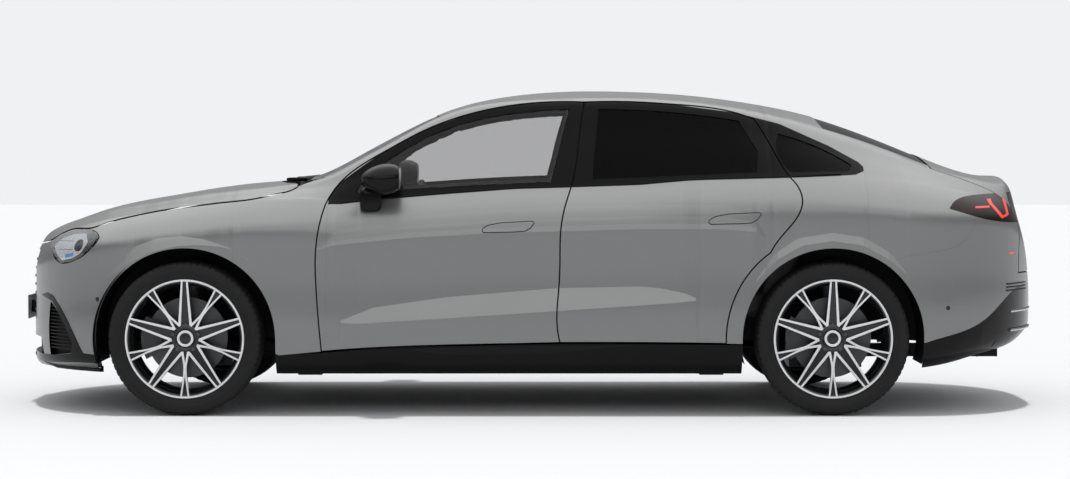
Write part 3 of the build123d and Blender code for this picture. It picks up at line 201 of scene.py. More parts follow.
def body_grid(along=900, around=641):
    """The painted body as a grid of left-half points, x constant along each row, with its outward
    normals from the cross product of the grid's tangents."""
    half = half_sections(STATIONS)
    middle = half_sections(np.array([0.0]))[0]
    ring = np.vstack([middle, middle[-2::-1] * (-1, 1)])
    steps = np.sqrt(np.linalg.norm(np.diff(ring, axis=0), axis=1))
    knots = np.concatenate([[0], np.cumsum(steps)]) / steps.sum()
    full = np.concatenate([half, half[:, -2::-1] * (-1, 1)], axis=1)
    sections = np.dstack([np.repeat(STATIONS[:, None] + DRAWN_SHIFT, full.shape[1], 1), full])
    chord = np.linalg.norm(np.diff(sections, axis=0), axis=2).mean(1)
    lengths = np.concatenate([[0], np.cumsum(chord)]) / chord.sum()
    rows = spline(lengths, sections, np.linspace(0, 1, along))
    points = spline(knots, rows.transpose(1, 0, 2), np.linspace(0, 0.5, around)).transpose(1, 0, 2)
    points = points / 1000 * (1, -1, 1)
    across, ahead = np.gradient(points, axis=1), np.gradient(points, axis=0)
    normals = np.cross(ahead, across)
    normals /= np.linalg.norm(normals, axis=2)[..., None] + 1e-12
    return points, normals


BODY, BODY_NORMALS = body_grid()
BODY_X = BODY[:, 0, 0]
SIDE_Z = np.linspace(0.16, 1.49, 500)
SIDE_Y = np.array([np.interp(SIDE_Z, row[:, 2], row[:, 1]) for row in BODY])


def side_y(x, z):
    """The left flank's y at places along and up, read from a table two ways linear."""
    i = np.interp(x, BODY_X, np.arange(len(BODY_X)))
    j = np.interp(z, SIDE_Z, np.arange(len(SIDE_Z)))
    i0, j0 = np.minimum(i.astype(int), len(BODY_X) - 2), np.minimum(j.astype(int), len(SIDE_Z) - 2)
    s, t = i - i0, j - j0
    low = SIDE_Y[i0, j0] * (1 - t) + SIDE_Y[i0, j0 + 1] * t
    high = SIDE_Y[i0 + 1, j0] * (1 - t) + SIDE_Y[i0 + 1, j0 + 1] * t
    return low * (1 - s) + high * s


def side_point(x, z, out=0.0):
    """Points on the left flank moved outward along its normal, which is the cross product of two
    small steps along and up."""
    x, z = np.broadcast_arrays(np.asarray(x, float), np.asarray(z, float))
    step = 0.004
    y = side_y(x, z)
    dx = (side_y(x + step, z) - side_y(x - step, z)) / (2 * step)
    dz = (side_y(x, z + step) - side_y(x, z - step)) / (2 * step)
    normal = np.stack([dx, -np.ones_like(dx), dz], -1)
    normal /= np.linalg.norm(normal, axis=-1)[..., None]
    return np.stack([x, y, z], -1) + normal * np.asarray(out)[..., None]


def nearest_on_body(points):
    """Depth below the body's surface and its outward normal at each point, by the nearest point
    in the section at the same x, mirrored to the right-hand side."""
    side = np.where(points[:, 1] > 0, -1.0, 1.0)
    left = points * np.stack([np.ones_like(side), side, np.ones_like(side)], 1)
    index = np.interp(left[:, 0], BODY_X, np.arange(len(BODY_X)))
    depth, normals = np.zeros(len(points)), np.zeros((len(points), 3))
    for start in range(0, len(points), 4000):
        part = slice(start, start + 4000)
        i = np.clip(np.round(index[part]).astype(int), 0, len(BODY_X) - 1)
        gap = left[part, None, 1:] - BODY[i][:, :, 1:]
        j = np.argmin((gap**2).sum(2), axis=1)
        n = BODY_NORMALS[i, j]
        depth[part] = -((left[part] - BODY[i, j]) * n).sum(1)
        normals[part] = n
    normals[:, 1] *= side
    return depth, normals


# Meshes


def link(name, mesh, body):
    """A new object, on one CAD body where one is given."""
    obj = bpy.data.objects.new(name, mesh)
    bpy.context.scene.collection.objects.link(obj)
    if body:
        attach(obj, body)
    return obj


def make_mesh(name, points, faces):
    """A smooth mesh from arrays."""
    mesh = bpy.data.meshes.new(name)
    mesh.from_pydata(points.reshape(-1, 3).tolist(), [], faces.tolist())
    mesh.polygons.foreach_set("use_smooth", np.ones(len(mesh.polygons), bool))
    mesh.update()
    return mesh


def grid_faces(rows, columns, close_rows=False, close_columns=False):
    """Quads of a grid of points in reading order, wrapped round in either direction."""
    i = np.arange(rows if close_rows else rows - 1)
    j = np.arange(columns if close_columns else columns - 1)
    i, j = np.meshgrid(i, j, indexing="ij")
    i1, j1 = (i + 1) % rows, (j + 1) % columns
    quads = np.stack([i * columns + j, i * columns + j1, i1 * columns + j1, i1 * columns + j], -1)
    return quads.reshape(-1, 4)


def mirror_points(points):
    """The same points on the car's other side."""
    return points * np.array([1.0, -1.0, 1.0])


def tidy_normals(mesh, angle):
    """Merges doubles, points faces outwards and marks edges sharper than an angle."""
    work = bmesh.new()
    work.from_mesh(mesh)
    bmesh.ops.remove_doubles(work, verts=work.verts, dist=MERGE)
    bmesh.ops.recalc_face_normals(work, faces=work.faces)
    work.to_mesh(mesh)
    work.free()
    mesh.set_sharp_from_angle(angle=math.radians(angle))


def cad_copy(node, name, angle=35.0):
    """A merged, smooth copy of a CAD node that stands for it."""
    mesh = frame["nodes"][node].data.copy()
    mesh.name = name
    work = bmesh.new()
    work.from_mesh(mesh)
    bmesh.ops.remove_doubles(work, verts=work.verts, dist=MERGE)
    work.to_mesh(mesh)
    work.free()
    mesh.polygons.foreach_set("use_smooth", np.ones(len(mesh.polygons), bool))
    mesh.set_sharp_from_angle(angle=math.radians(angle))
    mesh.materials.clear()
    obj = link(name, mesh, BODY_OF[node])
    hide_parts(node)
    return obj


def skin_copy(node, name, skin, inside):
    """A copy of a body panel. Faces on the body's surface take the skin material and the
    surface's own normals; the rest take the inside material."""
    obj = cad_copy(node, name)
    mesh = obj.data
    mesh.materials.append(skin)
    mesh.materials.append(inside)
    count, loops = len(mesh.polygons), len(mesh.loops)
    centres, facing = np.zeros(count * 3), np.zeros(count * 3)
    mesh.polygons.foreach_get("center", centres)
    mesh.polygons.foreach_get("normal", facing)
    depth, normals = nearest_on_body(centres.reshape(-1, 3))
    square = (facing.reshape(-1, 3) * normals).sum(1)
    outer = (np.abs(depth) < SKIN_DEPTH) & (square > SKIN_COSINE)
    mesh.polygons.foreach_set("material_index", np.where(outer, 0, 1).astype(np.int32))
    places, corner = np.zeros(len(mesh.vertices) * 3), np.zeros(loops, np.int32)
    mesh.vertices.foreach_get("co", places)
    mesh.loops.foreach_get("vertex_index", corner)
    totals = np.zeros(count, np.int32)
    mesh.polygons.foreach_get("loop_total", totals)
    smooth = nearest_on_body(places.reshape(-1, 3))[1][corner]
    mask = np.repeat(outer, totals)
    given = np.zeros(loops * 3)
    mesh.corner_normals.foreach_get("vector", given)
    mesh.normals_split_custom_set(np.where(mask[:, None], smooth, given.reshape(-1, 3)).tolist())
    return obj


def turned(profile, count, closed=False):
    """A profile of (radius, y) points turned about Y: x is r cos a, z is r sin a."""
    radius, y = np.asarray(profile, float).T
    a = np.linspace(0, 2 * math.pi, count, endpoint=False)[:, None]
    points = np.stack(np.broadcast_arrays(radius * np.cos(a), y, radius * np.sin(a)), -1)
    return points, grid_faces(count, len(y), close_rows=True, close_columns=closed)


def drawn(*points):
    """Drawn places in millimetres as places of the model in metres."""
    return (np.array(points, float) + (DRAWN_SHIFT, 0)) / 1000


def resample(points, count, smooth=True):
    """Points spaced evenly by length along a smooth or straight line through a few points."""
    points = np.asarray(points, float)
    knots = np.concatenate([[0], np.cumsum(np.linalg.norm(np.diff(points, axis=0), axis=1))])
    at = np.linspace(0, knots[-1], count)
    if smooth:
        return spline(knots, points, at)
    return np.stack([np.interp(at, knots, points[:, k]) for k in (0, 1)], 1)


def closed_sheet(front, back):
    """A closed plate between two grids of the same size."""
    rows, columns = front.shape[:2]
    index = np.arange(rows * columns).reshape(rows, columns)
    edge = np.concatenate([index[0, :-1], index[:-1, -1], index[-1, :0:-1], index[:0:-1, 0]])
    ahead, far = np.roll(edge, -1), rows * columns
    quads = grid_faces(rows, columns)
    faces = np.vstack([quads, quads[:, ::-1] + far,
                       np.stack([edge, edge + far, ahead + far, ahead], 1)])
    return np.concatenate([front.reshape(-1, 3), back.reshape(-1, 3)]), faces


def slab(upper, lower, out, thickness, columns=48, rows=7):
    """A plate on the left flank between two lines: each point is the body's point at
    (1 - v) lower(u) + v upper(u), moved out, and the back lies a thickness further in."""
    top, foot = (resample(drawn(*line), columns, smooth=False) for line in (upper, lower))
    v = np.linspace(0, 1, rows)[:, None, None]
    flat = foot * (1 - v) + top * v
    x, z = flat[..., 0], flat[..., 1]
    return closed_sheet(side_point(x, z, out), side_point(x, z, out - thickness))


def rail(path, outward, section):
    """A bar along a path: each point is path + a outward + b Z for a section's (a, b)."""
    a, b = np.asarray(section, float).T
    points = path[:, None] + a[None, :, None] * outward[:, None]
    points[..., 2] += b
    count, size = points.shape[:2]
    faces = grid_faces(count, size, close_columns=True).tolist()
    return points.reshape(-1, 3), faces + [list(range(size)),
                                           list(range((count - 1) * size, count * size))]


def plan_contour(z, x_end, count=140):
    """The body's outline in plan at a height, round the nose (x_end below 0) or the tail, from
    the left flank to the right one, with its outward normals."""
    sign = -1 if x_end < 0 else 1
    j = int(np.interp(z, SIDE_Z, np.arange(len(SIDE_Z))))
    keep = sign * BODY_X > sign * x_end
    left = np.stack([BODY_X[keep], SIDE_Y[keep, j]], 1)[::-sign]
    loop = np.vstack([left[::-1], left * (1, -1)])
    knots = np.concatenate([[0], np.cumsum(np.linalg.norm(np.diff(loop, axis=0), axis=1) + 1e-9)])
    at = np.linspace(0, knots[-1], count)
    loop = np.stack([np.interp(at, knots, loop[:, k]) for k in (0, 1)], 1)
    tangent = np.gradient(loop, axis=0)
    tangent /= np.linalg.norm(tangent, axis=1)[:, None]
    outward = sign * np.stack([tangent[:, 1], -tangent[:, 0], np.zeros(count)], 1)
    return np.column_stack([loop, np.full(count, z)]), outward


def flank_path(points, count=120):
    """A smooth line on the left flank through drawn points, with the body's outward normals."""
    line = resample(drawn(*points), count)
    path = side_point(line[:, 0], line[:, 1])
    outward = side_point(line[:, 0], line[:, 1], 1.0) - path
    return path, outward


def pillow(centre, size, powers=(0.45, 0.35), turn=0.0, flutes=0.0, spacing=0.07):
    """A padded form: half sizes times signed powers of cosines and sines of two angles, with
    channels of the depth |cos(pi y / spacing)|^6 along its upper face, leant back about Y."""
    u = np.linspace(-math.pi / 2, math.pi / 2, 49)[:, None]
    v = np.linspace(-math.pi, math.pi, 97)[None, :-1]

    def power(value, exponent):
        return np.sign(value) * np.abs(value) ** exponent

    x = size[0] / 2 * power(np.cos(u), powers[0]) * power(np.cos(v), powers[1])
    y = size[1] / 2 * power(np.cos(u), powers[0]) * power(np.sin(v), powers[1])
    z = size[2] / 2 * power(np.sin(u), powers[0]) * np.ones_like(v)
    top = np.clip(z / (size[2] / 2), 0, 1)
    z = z - flutes * top * np.abs(np.cos(math.pi * y / spacing)) ** 6
    c, s = math.cos(turn), math.sin(turn)
    points = np.stack([x * c + z * s, y, z * c - x * s], -1) + np.asarray(centre)
    return points, grid_faces(49, 96, close_columns=True)


class Parts:
    """Gathers several shapes into one mesh, with a material index for each of their faces."""

    def __init__(self):
        self.points, self.faces, self.indices, self.count = [], [], [], 0

    def add(self, shape, index=0):
        """Adds one shape, which is (points, faces), in one of the piece's materials."""
        points = np.asarray(shape[0], float).reshape(-1, 3)
        faces = [[int(v) + self.count for v in face] for face in shape[1]]
        self.points.append(points)
        self.faces += faces
        self.indices += [index] * len(faces)
        self.count += len(points)

    def mesh(self, name, materials, angle=30.0, move=None):
        """The gathered shapes as one mesh, moved by a function where one is given."""
        points = np.vstack(self.points)
        mesh = bpy.data.meshes.new(name)
        mesh.from_pydata((move(points) if move else points).tolist(), [], self.faces)
        for material in materials:
            mesh.materials.append(material)
        mesh.polygons.foreach_set("material_index", np.array(self.indices, np.int32))
        mesh.polygons.foreach_set("use_smooth", np.ones(len(mesh.polygons), bool))
        tidy_normals(mesh, angle=angle)
        return mesh


def both_sides(name, parts, materials, bodies, bevel=0.0):
    """The gathered left-hand shapes as a piece on each side, on one body or a pair of them."""
    pair = bodies if isinstance(bodies, tuple) else (bodies, bodies)
    for side, body, move in (("left", pair[0], None), ("right", pair[1], mirror_points)):
        mesh = parts.mesh(f"{name}_{side}", materials, move=move)
        obj = link(f"{name}_{side}", mesh, body)
        if bevel:
            round_edges(obj, bevel)


def round_edges(obj, width):
    """Rounds the edges sharper than thirty degrees."""
    modifier = obj.modifiers.new("Rounded edges", "BEVEL")
    modifier.width, modifier.segments = width, 2
    modifier.limit_method, modifier.angle_limit = "ANGLE", math.radians(30)
    modifier.harden_normals = True


# Materials


def node(tree, kind, **values):
    """A new node, with values for its inputs by name and for its own settings."""
    made = tree.nodes.new(kind)
    for key, value in values.items():
        if hasattr(made, key):
            setattr(made, key, value)
        else:
            made.inputs[key.replace("_", " ")].default_value = value
    return made


def maths(tree, operation, first, second=0.0, clamp=False):
    """One step of arithmetic on sockets or numbers."""
    made = tree.nodes.new("ShaderNodeMath")
    made.operation, made.use_clamp = operation, clamp
    for slot_index, value in enumerate((first, second)):
        if isinstance(value, bpy.types.NodeSocket):
            tree.links.new(value, made.inputs[slot_index])
        else:
            made.inputs[slot_index].default_value = value
    return made.outputs[0]


def shared_group(name, inputs, outputs):
    """A new node group with the given sockets, and its input and output nodes."""
    group = bpy.data.node_groups.new(name, "ShaderNodeTree")
    for label, kind, value in inputs:
        socket = group.interface.new_socket(label, in_out="INPUT", socket_type=kind)
        socket.default_value = value
    for label, kind in outputs:
        group.interface.new_socket(label, in_out="OUTPUT", socket_type=kind)
    return group, group.nodes.new("NodeGroupInput"), group.nodes.new("NodeGroupOutput")


def object_axes(tree):
    """Sockets of a surface point's x, y and z in its object's own frame."""
    place = tree.nodes.new("ShaderNodeTexCoord")
    axes = tree.nodes.new("ShaderNodeSeparateXYZ")
    tree.links.new(place.outputs["Object"], axes.inputs[0])
    return axes.outputs


def press(tree, height, distance, strength=1.0):
    """Turns a height socket into relief on a material's own shader."""
    relief = node(tree, "ShaderNodeBump", Distance=distance, Strength=strength)
    tree.links.new(height, relief.inputs["Height"])
    tree.links.new(relief.outputs[0], tree.nodes["Principled BSDF"].inputs["Normal"])


def fine_surface():
    """Colour, roughness and height varied by two scales of noise over a surface."""
    found = bpy.data.node_groups.get("Fine surface")
    if found:
        return found
    number, colour = "NodeSocketFloat", "NodeSocketColor"
    tree, given, out = shared_group(
        "Fine surface",
        (("Colour", colour, (0.5, 0.5, 0.5, 1)), ("Scale", number, 300.0), ("Vary", number, 0.1),
         ("Roughness", number, 0.4), ("Rough vary", number, 0.1)),
        (("Colour", colour), ("Roughness", number), ("Height", number)))
    place = tree.nodes.new("ShaderNodeTexCoord")
    fine = node(tree, "ShaderNodeTexNoise", Detail=3.0)
    broad = node(tree, "ShaderNodeTexNoise", Scale=7.0)
    for texture in (fine, broad):
        tree.links.new(place.outputs["Object"], texture.inputs["Vector"])
    tree.links.new(given.outputs["Scale"], fine.inputs["Scale"])
    shade = maths(tree, "MULTIPLY_ADD", fine.outputs[0], given.outputs["Vary"])
    shade.node.inputs[2].default_value = 1.0
    lowered = maths(tree, "SUBTRACT", shade, maths(tree, "MULTIPLY", given.outputs["Vary"], 0.5))
    scaled = node(tree, "ShaderNodeVectorMath", operation="SCALE")
    tree.links.new(given.outputs["Colour"], scaled.inputs[0])
    tree.links.new(lowered, scaled.inputs["Scale"])
    rough = maths(tree, "MULTIPLY", maths(tree, "SUBTRACT", broad.outputs[0], 0.5),
                  given.outputs["Rough vary"])
    tree.links.new(scaled.outputs[0], out.inputs["Colour"])
    tree.links.new(maths(tree, "ADD", rough, given.outputs["Roughness"], clamp=True),
                   out.inputs["Roughness"])
    tree.links.new(fine.outputs[0], out.inputs["Height"])
    return tree


def line_height(tree, x, points):
    """The height, in metres, of a line through drawn points at a socket's x, and 0 beyond it."""
    line = drawn(*points)
    share = (line[:, 0] + CURVE_START) / CURVE_LENGTH
    curve = tree.nodes.new("ShaderNodeFloatCurve")
    stops = curve.mapping.curves[0].points
    places = [(0.0, 0.0), (share[0] - 2e-4, 0.0)] + list(zip(share, line[:, 1] / CURVE_RISE))
    places += [(share[-1] + 2e-4, 0.0), (1.0, 0.0)]
    stops[0].location, stops[1].location = places[0], places[-1]
    for place in places[1:-1]:
        stops.new(float(place[0]), float(place[1]))
    for stop in stops:
        stop.handle_type = "VECTOR"
    curve.mapping.update()
    spread = maths(tree, "DIVIDE", maths(tree, "ADD", x, CURVE_START), CURVE_LENGTH)
    tree.links.new(spread, curve.inputs["Value"])
    return maths(tree, "MULTIPLY", curve.outputs[0], CURVE_RISE)


def above(tree, value, level, soft=0.0012):
    """A mask that rises from 0 to 1 as a value passes a level."""
    gap = maths(tree, "SUBTRACT", value, level)
    return maths(tree, "ADD", maths(tree, "DIVIDE", gap, soft), 0.5, clamp=True)


def window_surround():
    """A mask of the black band round the side windows, from two lines of height along x."""
    found = bpy.data.node_groups.get("Window surround")
    if found:
        return found
    tree, _, out = shared_group("Window surround", (), (("Mask", "NodeSocketFloat"),))
    axes = object_axes(tree)
    over = above(tree, axes[2], line_height(tree, axes[0], SURROUND_FOOT))
    under = above(tree, line_height(tree, axes[0], SURROUND_TOP), axes[2])
    tree.links.new(maths(tree, "MULTIPLY", over, under), out.inputs["Mask"])
    return tree


def pressed_lines():
    """The height of the facets pressed into the flanks: each falls inward between two lines."""
    found = bpy.data.node_groups.get("Pressed lines")
    if found:
        return found
    tree, _, out = shared_group("Pressed lines", (), (("Height", "NodeSocketFloat"),))
    axes = object_axes(tree)
    total = 0.0
    for upper, lower, slope in FACETS:
        top, foot = (line_height(tree, axes[0], line) for line in (upper, lower))
        rise = maths(tree, "MAXIMUM", maths(tree, "SUBTRACT", axes[2], foot), 0.0)
        inside = maths(tree, "MINIMUM", rise, maths(tree, "SUBTRACT", top, foot))
        total = maths(tree, "ADD", maths(tree, "MULTIPLY", inside, -slope), total)
    tree.links.new(total, out.inputs["Height"])
    return tree


def finish(name, colour, roughness, scale=300.0, vary=0.1, rough_vary=0.12, bump=0.0, **inputs):
    """A material with a fine procedural surface. Made once and then found by its name."""
    found = bpy.data.materials.get(name)
    if found:
        return found
    material = bpy.data.materials.new(name)
    material.use_nodes = True
    tree = material.node_tree
    shader = tree.nodes["Principled BSDF"]
    surface = tree.nodes.new("ShaderNodeGroup")
    surface.node_tree = fine_surface()
    for label, value in (("Colour", (*colour, 1)), ("Scale", scale), ("Vary", vary),
                         ("Roughness", roughness), ("Rough vary", rough_vary)):
        surface.inputs[label].default_value = value
    tree.links.new(surface.outputs["Colour"], shader.inputs["Base Color"])
    tree.links.new(surface.outputs["Roughness"], shader.inputs["Roughness"])
    for label, value in inputs.items():
        shader.inputs[label.replace("_", " ")].default_value = value
    if bump:
        press(tree, surface.outputs["Height"], bump)
    material.diffuse_color = (*colour, 1)
    return material


def body_paint():
    """Satin metallic paint with a clear coat, gloss black round the windows, and pressed lines."""
    found = bpy.data.materials.get("Body paint")
    if found:
        return found
    look = settings()
    material = finish("Body paint", tuple(look.paint), look.paint_roughness, 1800.0, 0.16, 0.04,
                      Metallic=look.paint_metallic, Coat_Weight=0.35, Coat_Roughness=0.12)
    tree = material.node_tree
    shader = tree.nodes["Principled BSDF"]
    mask = tree.nodes.new("ShaderNodeGroup")
    mask.node_tree = window_surround()
    for label, black in (("Base Color", (0.004, 0.004, 0.0045, 1)), ("Roughness", 0.25),
                         ("Metallic", 0.0),
                         ("Coat Weight", 0.0), ("Specular IOR Level", 0.06)):
        socket = shader.inputs[label]
        flat = label != "Base Color"
        mix = node(tree, "ShaderNodeMix", data_type="FLOAT" if flat else "RGBA")
        a, b, result = (mix.inputs[2], mix.inputs[3], mix.outputs[0]) if flat else \
            (mix.inputs[6], mix.inputs[7], mix.outputs[2])
        if socket.is_linked:
            tree.links.new(socket.links[0].from_socket, a)
        else:
            a.default_value = socket.default_value
        b.default_value = black
        tree.links.new(mask.outputs[0], mix.inputs[0])
        tree.links.new(result, socket)
    lines = tree.nodes.new("ShaderNodeGroup")
    lines.node_tree = pressed_lines()
    press(tree, lines.outputs[0], 1.0)
    return material


def glass(name, tint, bend=1.45):
    """Tinted glass with faint waves in its roughness. A low bend gives it a dull surface."""
    return finish(name, tint, 0.0, 30.0, 0.02, 0.01, Transmission_Weight=1.0, IOR=bend)


def leather():
    """Dark grained leather, with the grain as fine cells."""
    found = bpy.data.materials.get("Cabin leather")
    if found:
        return found
    material = finish("Cabin leather", (0.045, 0.043, 0.042), 0.5, 90.0, 0.25, 0.15)
    tree = material.node_tree
    place = tree.nodes.new("ShaderNodeTexCoord")
    cells = node(tree, "ShaderNodeTexVoronoi", Scale=420.0)
    tree.links.new(place.outputs["Object"], cells.inputs["Vector"])
    press(tree, cells.outputs["Distance"], 0.0003, 0.6)
    return material


def dark(name="Dark trim and gap shade"):
    """Dull dark plastic or felt, under a name of its own where one is given. On the body panels'
    inner faces it is also painted shade that darkens the shut lines.
    """
    return finish(name, (0.008, 0.008, 0.0085), 0.62, 500.0, 0.3, 0.15, bump=0.00006,
                  Specular_IOR_Level=0.2)


def gloss_black():
    """Shiny black trim."""
    return finish("Gloss black", (0.003, 0.003, 0.0035), 0.16, 40.0, 0.05, 0.05,
                  Specular_IOR_Level=0.16)


def satin_black():
    """Dull black plastic."""
    return finish("Satin black", (0.004, 0.004, 0.0045), 0.36, 700.0, 0.2, 0.1, bump=0.00004,
                  Specular_IOR_Level=0.12)


def silver():
    """Satin silver trim."""
    return finish("Satin silver", (0.50, 0.51, 0.52), 0.24, 900.0, 0.06, 0.08, Metallic=1.0)


def machined():
    """Bright turned aluminium under lacquer."""
    return finish("Machined alloy", (0.80, 0.80, 0.81), 0.36, 1500.0, 0.10, 0.08, Metallic=0.35,
                  Coat_Weight=0.4, Coat_Roughness=0.08)


def dark_alloy():
    """Dark paint of the wheel between its bright lines."""
    return finish("Dark alloy", (0.009, 0.0095, 0.0105), 0.34, 1200.0, 0.25, 0.08, Metallic=0.0,
                  Specular_IOR_Level=0.35,
                  Coat_Weight=0.3, Coat_Roughness=0.1)


def rubber():
    """Black tyre rubber."""
    return finish("Tyre rubber", (0.010, 0.010, 0.0105), 0.7, 260.0, 0.3, 0.18, bump=0.00012,
                  Specular_IOR_Level=0.25)


def steel():
    """Turned brake steel."""
    return finish("Brake steel", (0.085, 0.086, 0.09), 0.36, 700.0, 0.2, 0.15, Metallic=0.7)


def clear_lens():
    """Clear lamp glass."""
    return glass("Clear lens", (0.93, 0.95, 0.97))


def smoked_lens():
    """Dark lamp glass."""
    return finish("Smoked lens", (0.010, 0.004, 0.004), 0.16, 60.0, 0.1, 0.05,
                  Specular_IOR_Level=0.2)


def red_lens():
    """Red lamp glass with a faint glow."""
    return finish("Red lens", (0.72, 0.035, 0.025), 0.2, 90.0, 0.12, 0.06,
                  Emission_Color=(1.0, 0.06, 0.04, 1), Emission_Strength=0.35)


# Lines on the flank, drawn in millimetres
SURROUND_TOP = (
    (-922, 964), (-895, 1014), (-859, 1066), (-757, 1141), (-664, 1206), (-607, 1240), (-466, 1312),
    (-311, 1366), (-265, 1384), (-63, 1423), (138, 1439), (266, 1439), (526, 1437), (666, 1428),
    (969, 1388), (1173, 1337), (1320, 1270), (1402, 1233), (1454, 1203), (1530, 1160), (1563, 1126))
SURROUND_FOOT = (
    (-922, 966), (-855, 966), (-659, 988), (-361, 1013), (-61, 1035), (199, 1043), (517, 1054),
    (754, 1075), (1211, 1087), (1435, 1096), (1510, 1100), (1563, 1122))
DOOR_BLADE_FOOT = (
    (-870, 428), (-773, 422), (-359, 448), (136, 481), (514, 506), (720, 522), (789, 531))
SHOULDER_FOOT = ((-980, 752), (-880, 780), (-554, 813), (-200, 834), (154, 845), (513, 854),
                 (895, 854), (1045, 842), (1095, 810))
FACETS = (
    (((-870, 428), (-702, 496), (-359, 545), (136, 585), (514, 593), (600, 586), (720, 562),
      (789, 531)),
     DOOR_BLADE_FOOT, 0.42),
    (((-980, 752), (-880, 800), (-554, 836), (-200, 858), (154, 869), (513, 878), (895, 878),
      (1045, 864), (1095, 810)), SHOULDER_FOOT, 0.16),
    (((-980, 752), (-880, 820), (-554, 866), (-200, 890), (154, 902), (513, 912), (895, 912),
      (1045, 886), (1095, 810)), SHOULDER_FOOT, 0.11),
    (((-980, 752), (-880, 840), (-554, 910), (-200, 940), (154, 955), (513, 965), (895, 965),
      (1045, 910), (1095, 810)), SHOULDER_FOOT, 0.07),
    (((-1952, 610), (-1881, 680), (-1783, 777), (-1678, 813), (-1573, 822), (-1468, 808),
      (-1363, 772), (-1295, 735), (-1197, 659)),
     ((-1952, 610), (-1825, 694), (-1714, 749), (-1600, 777), (-1505, 782), (-1400, 774),
      (-1329, 758), (-1197, 659)), 0.55),
    (((1030, 600), (1120, 735), (1230, 812), (1390, 838), (1540, 815), (1660, 742), (1740, 640)),
     ((1030, 600), (1140, 715), (1250, 778), (1390, 800), (1530, 780), (1650, 715), (1740, 640)),
     0.50),
)
HANDLES = (
    (("front_left_door", "front_right_door"),
     ((-204, 848), (-198, 858), (-176, 870), (-120, 881), (22, 889), (32, 884)),
     ((-204, 848), (-196, 840), (-60, 843), (-8, 847), (16, 862), (32, 884))),
    (("rear_left_door", "rear_right_door"),
     ((827, 886), (834, 897), (860, 910), (916, 921), (1055, 928), (1065, 923)),
     ((827, 886), (836, 878), (970, 881), (1024, 885), (1048, 901), (1065, 923))),
)


# Pieces: what each builder makes is said on its operator below


def settings():
    """The sizes and colours set in the panel."""
    return bpy.context.scene.sedan


def wheel_face(parts, look):
    """Ten spokes: five closed pairs of bright lines with a dark pocket and five that cross.

    In the wheel's plane a line runs from the rim to the hub at a radius r and a distance aside of
    its axis. Points are (x, outward, z)."""
    radii = np.linspace(0.262, 0.060, 22)
    front = 0.1085 - look.spoke_dish * (1 - (radii - 0.06) / 0.202) ** 1.6
    for spoke in range(SPOKES):
        angle = math.radians(90 + 360 / SPOKES * spoke)
        axis = np.array([math.cos(angle), math.sin(angle)])
        across = np.array([-axis[1], axis[0]])
        if spoke % 2 == 0:
            aside = np.interp(radii, (0.058, 0.262), (0.0258, 0.0116))
            width = np.interp(radii, (0.058, 0.262), (0.0128, 0.0088))
        else:
            aside = np.interp(radii, (0.058, 0.121, 0.14, 0.18, 0.262),
                              (0.0145, 0.0034, 0.0033, 0.0052, 0.0169))
            width = np.interp(radii, (0.058, 0.14, 0.18, 0.262), (0.0120, 0.0086, 0.0086, 0.0086))
        for side in (-1, 1):
            line = radii[:, None] * axis + side * aside[:, None] * across
            add_bar(parts, line, across, width, front, 0.030 + 0.022 * (front < 0.1), 0.0014)
        floor = np.stack([radii[:, None] * axis - aside[:, None] * across,
                          radii[:, None] * axis + aside[:, None] * across], 1)
        depth = 0.011 if spoke % 2 == 0 else 0.014
        level = np.repeat((front - depth)[:, None], 2, 1)
        sheet = np.stack([floor[..., 0], level, floor[..., 1]], -1)
        back = sheet - (0, 0.012, 0)
        parts.add(closed_sheet(sheet, back), 1)


def add_bar(parts, line, across, width, front, depth, chamfer):
    """A spoke's line: at each station a section across it with two bright chamfered edges."""
    half = width / 2
    offsets = np.stack([-half, -half, -half + chamfer, half - chamfer, half, half], 1)
    outward = np.stack([front - depth, front - chamfer, front, front, front - chamfer,
                        front - depth], 1)
    flat = line[:, None] + offsets[..., None] * across
    points = np.stack([flat[..., 0], outward, flat[..., 1]], -1)
    count = len(line)
    quads = grid_faces(count, 6, close_columns=True)
    bright = np.isin(quads[:, 0] % 6, (1, 2, 3))
    parts.add((points, quads[bright]), 0)
    parts.add((points, quads[~bright].tolist()
               + [list(range(6)), list(range(6 * count - 6, 6 * count))]), 1)


def ring_shape(profile, count=180):
    """A closed (radius, outward) profile turned about the wheel's axle."""
    return turned(profile, count, closed=True)


def lug(radius, angle, size, front):
    """A hexagonal bolt head with a chamfer, at a radius and an angle of the wheel's plane."""
    turns = np.radians(np.arange(6) * 60 + 10)
    rings = []
    for share, out in ((1, front - 0.012), (1, front - 0.001), (0.8, front), (0.42, front),
                       (0.36, front - 0.003)):
        x = radius * math.cos(angle) + size * share * np.cos(turns)
        z = radius * math.sin(angle) + size * share * np.sin(turns)
        rings.append(np.stack([x, np.full(6, out), z], 1))
    points = np.array(rings)
    faces = grid_faces(5, 6, close_columns=True).tolist() + [list(range(6)), list(range(24, 30))]
    return points.reshape(-1, 3), faces


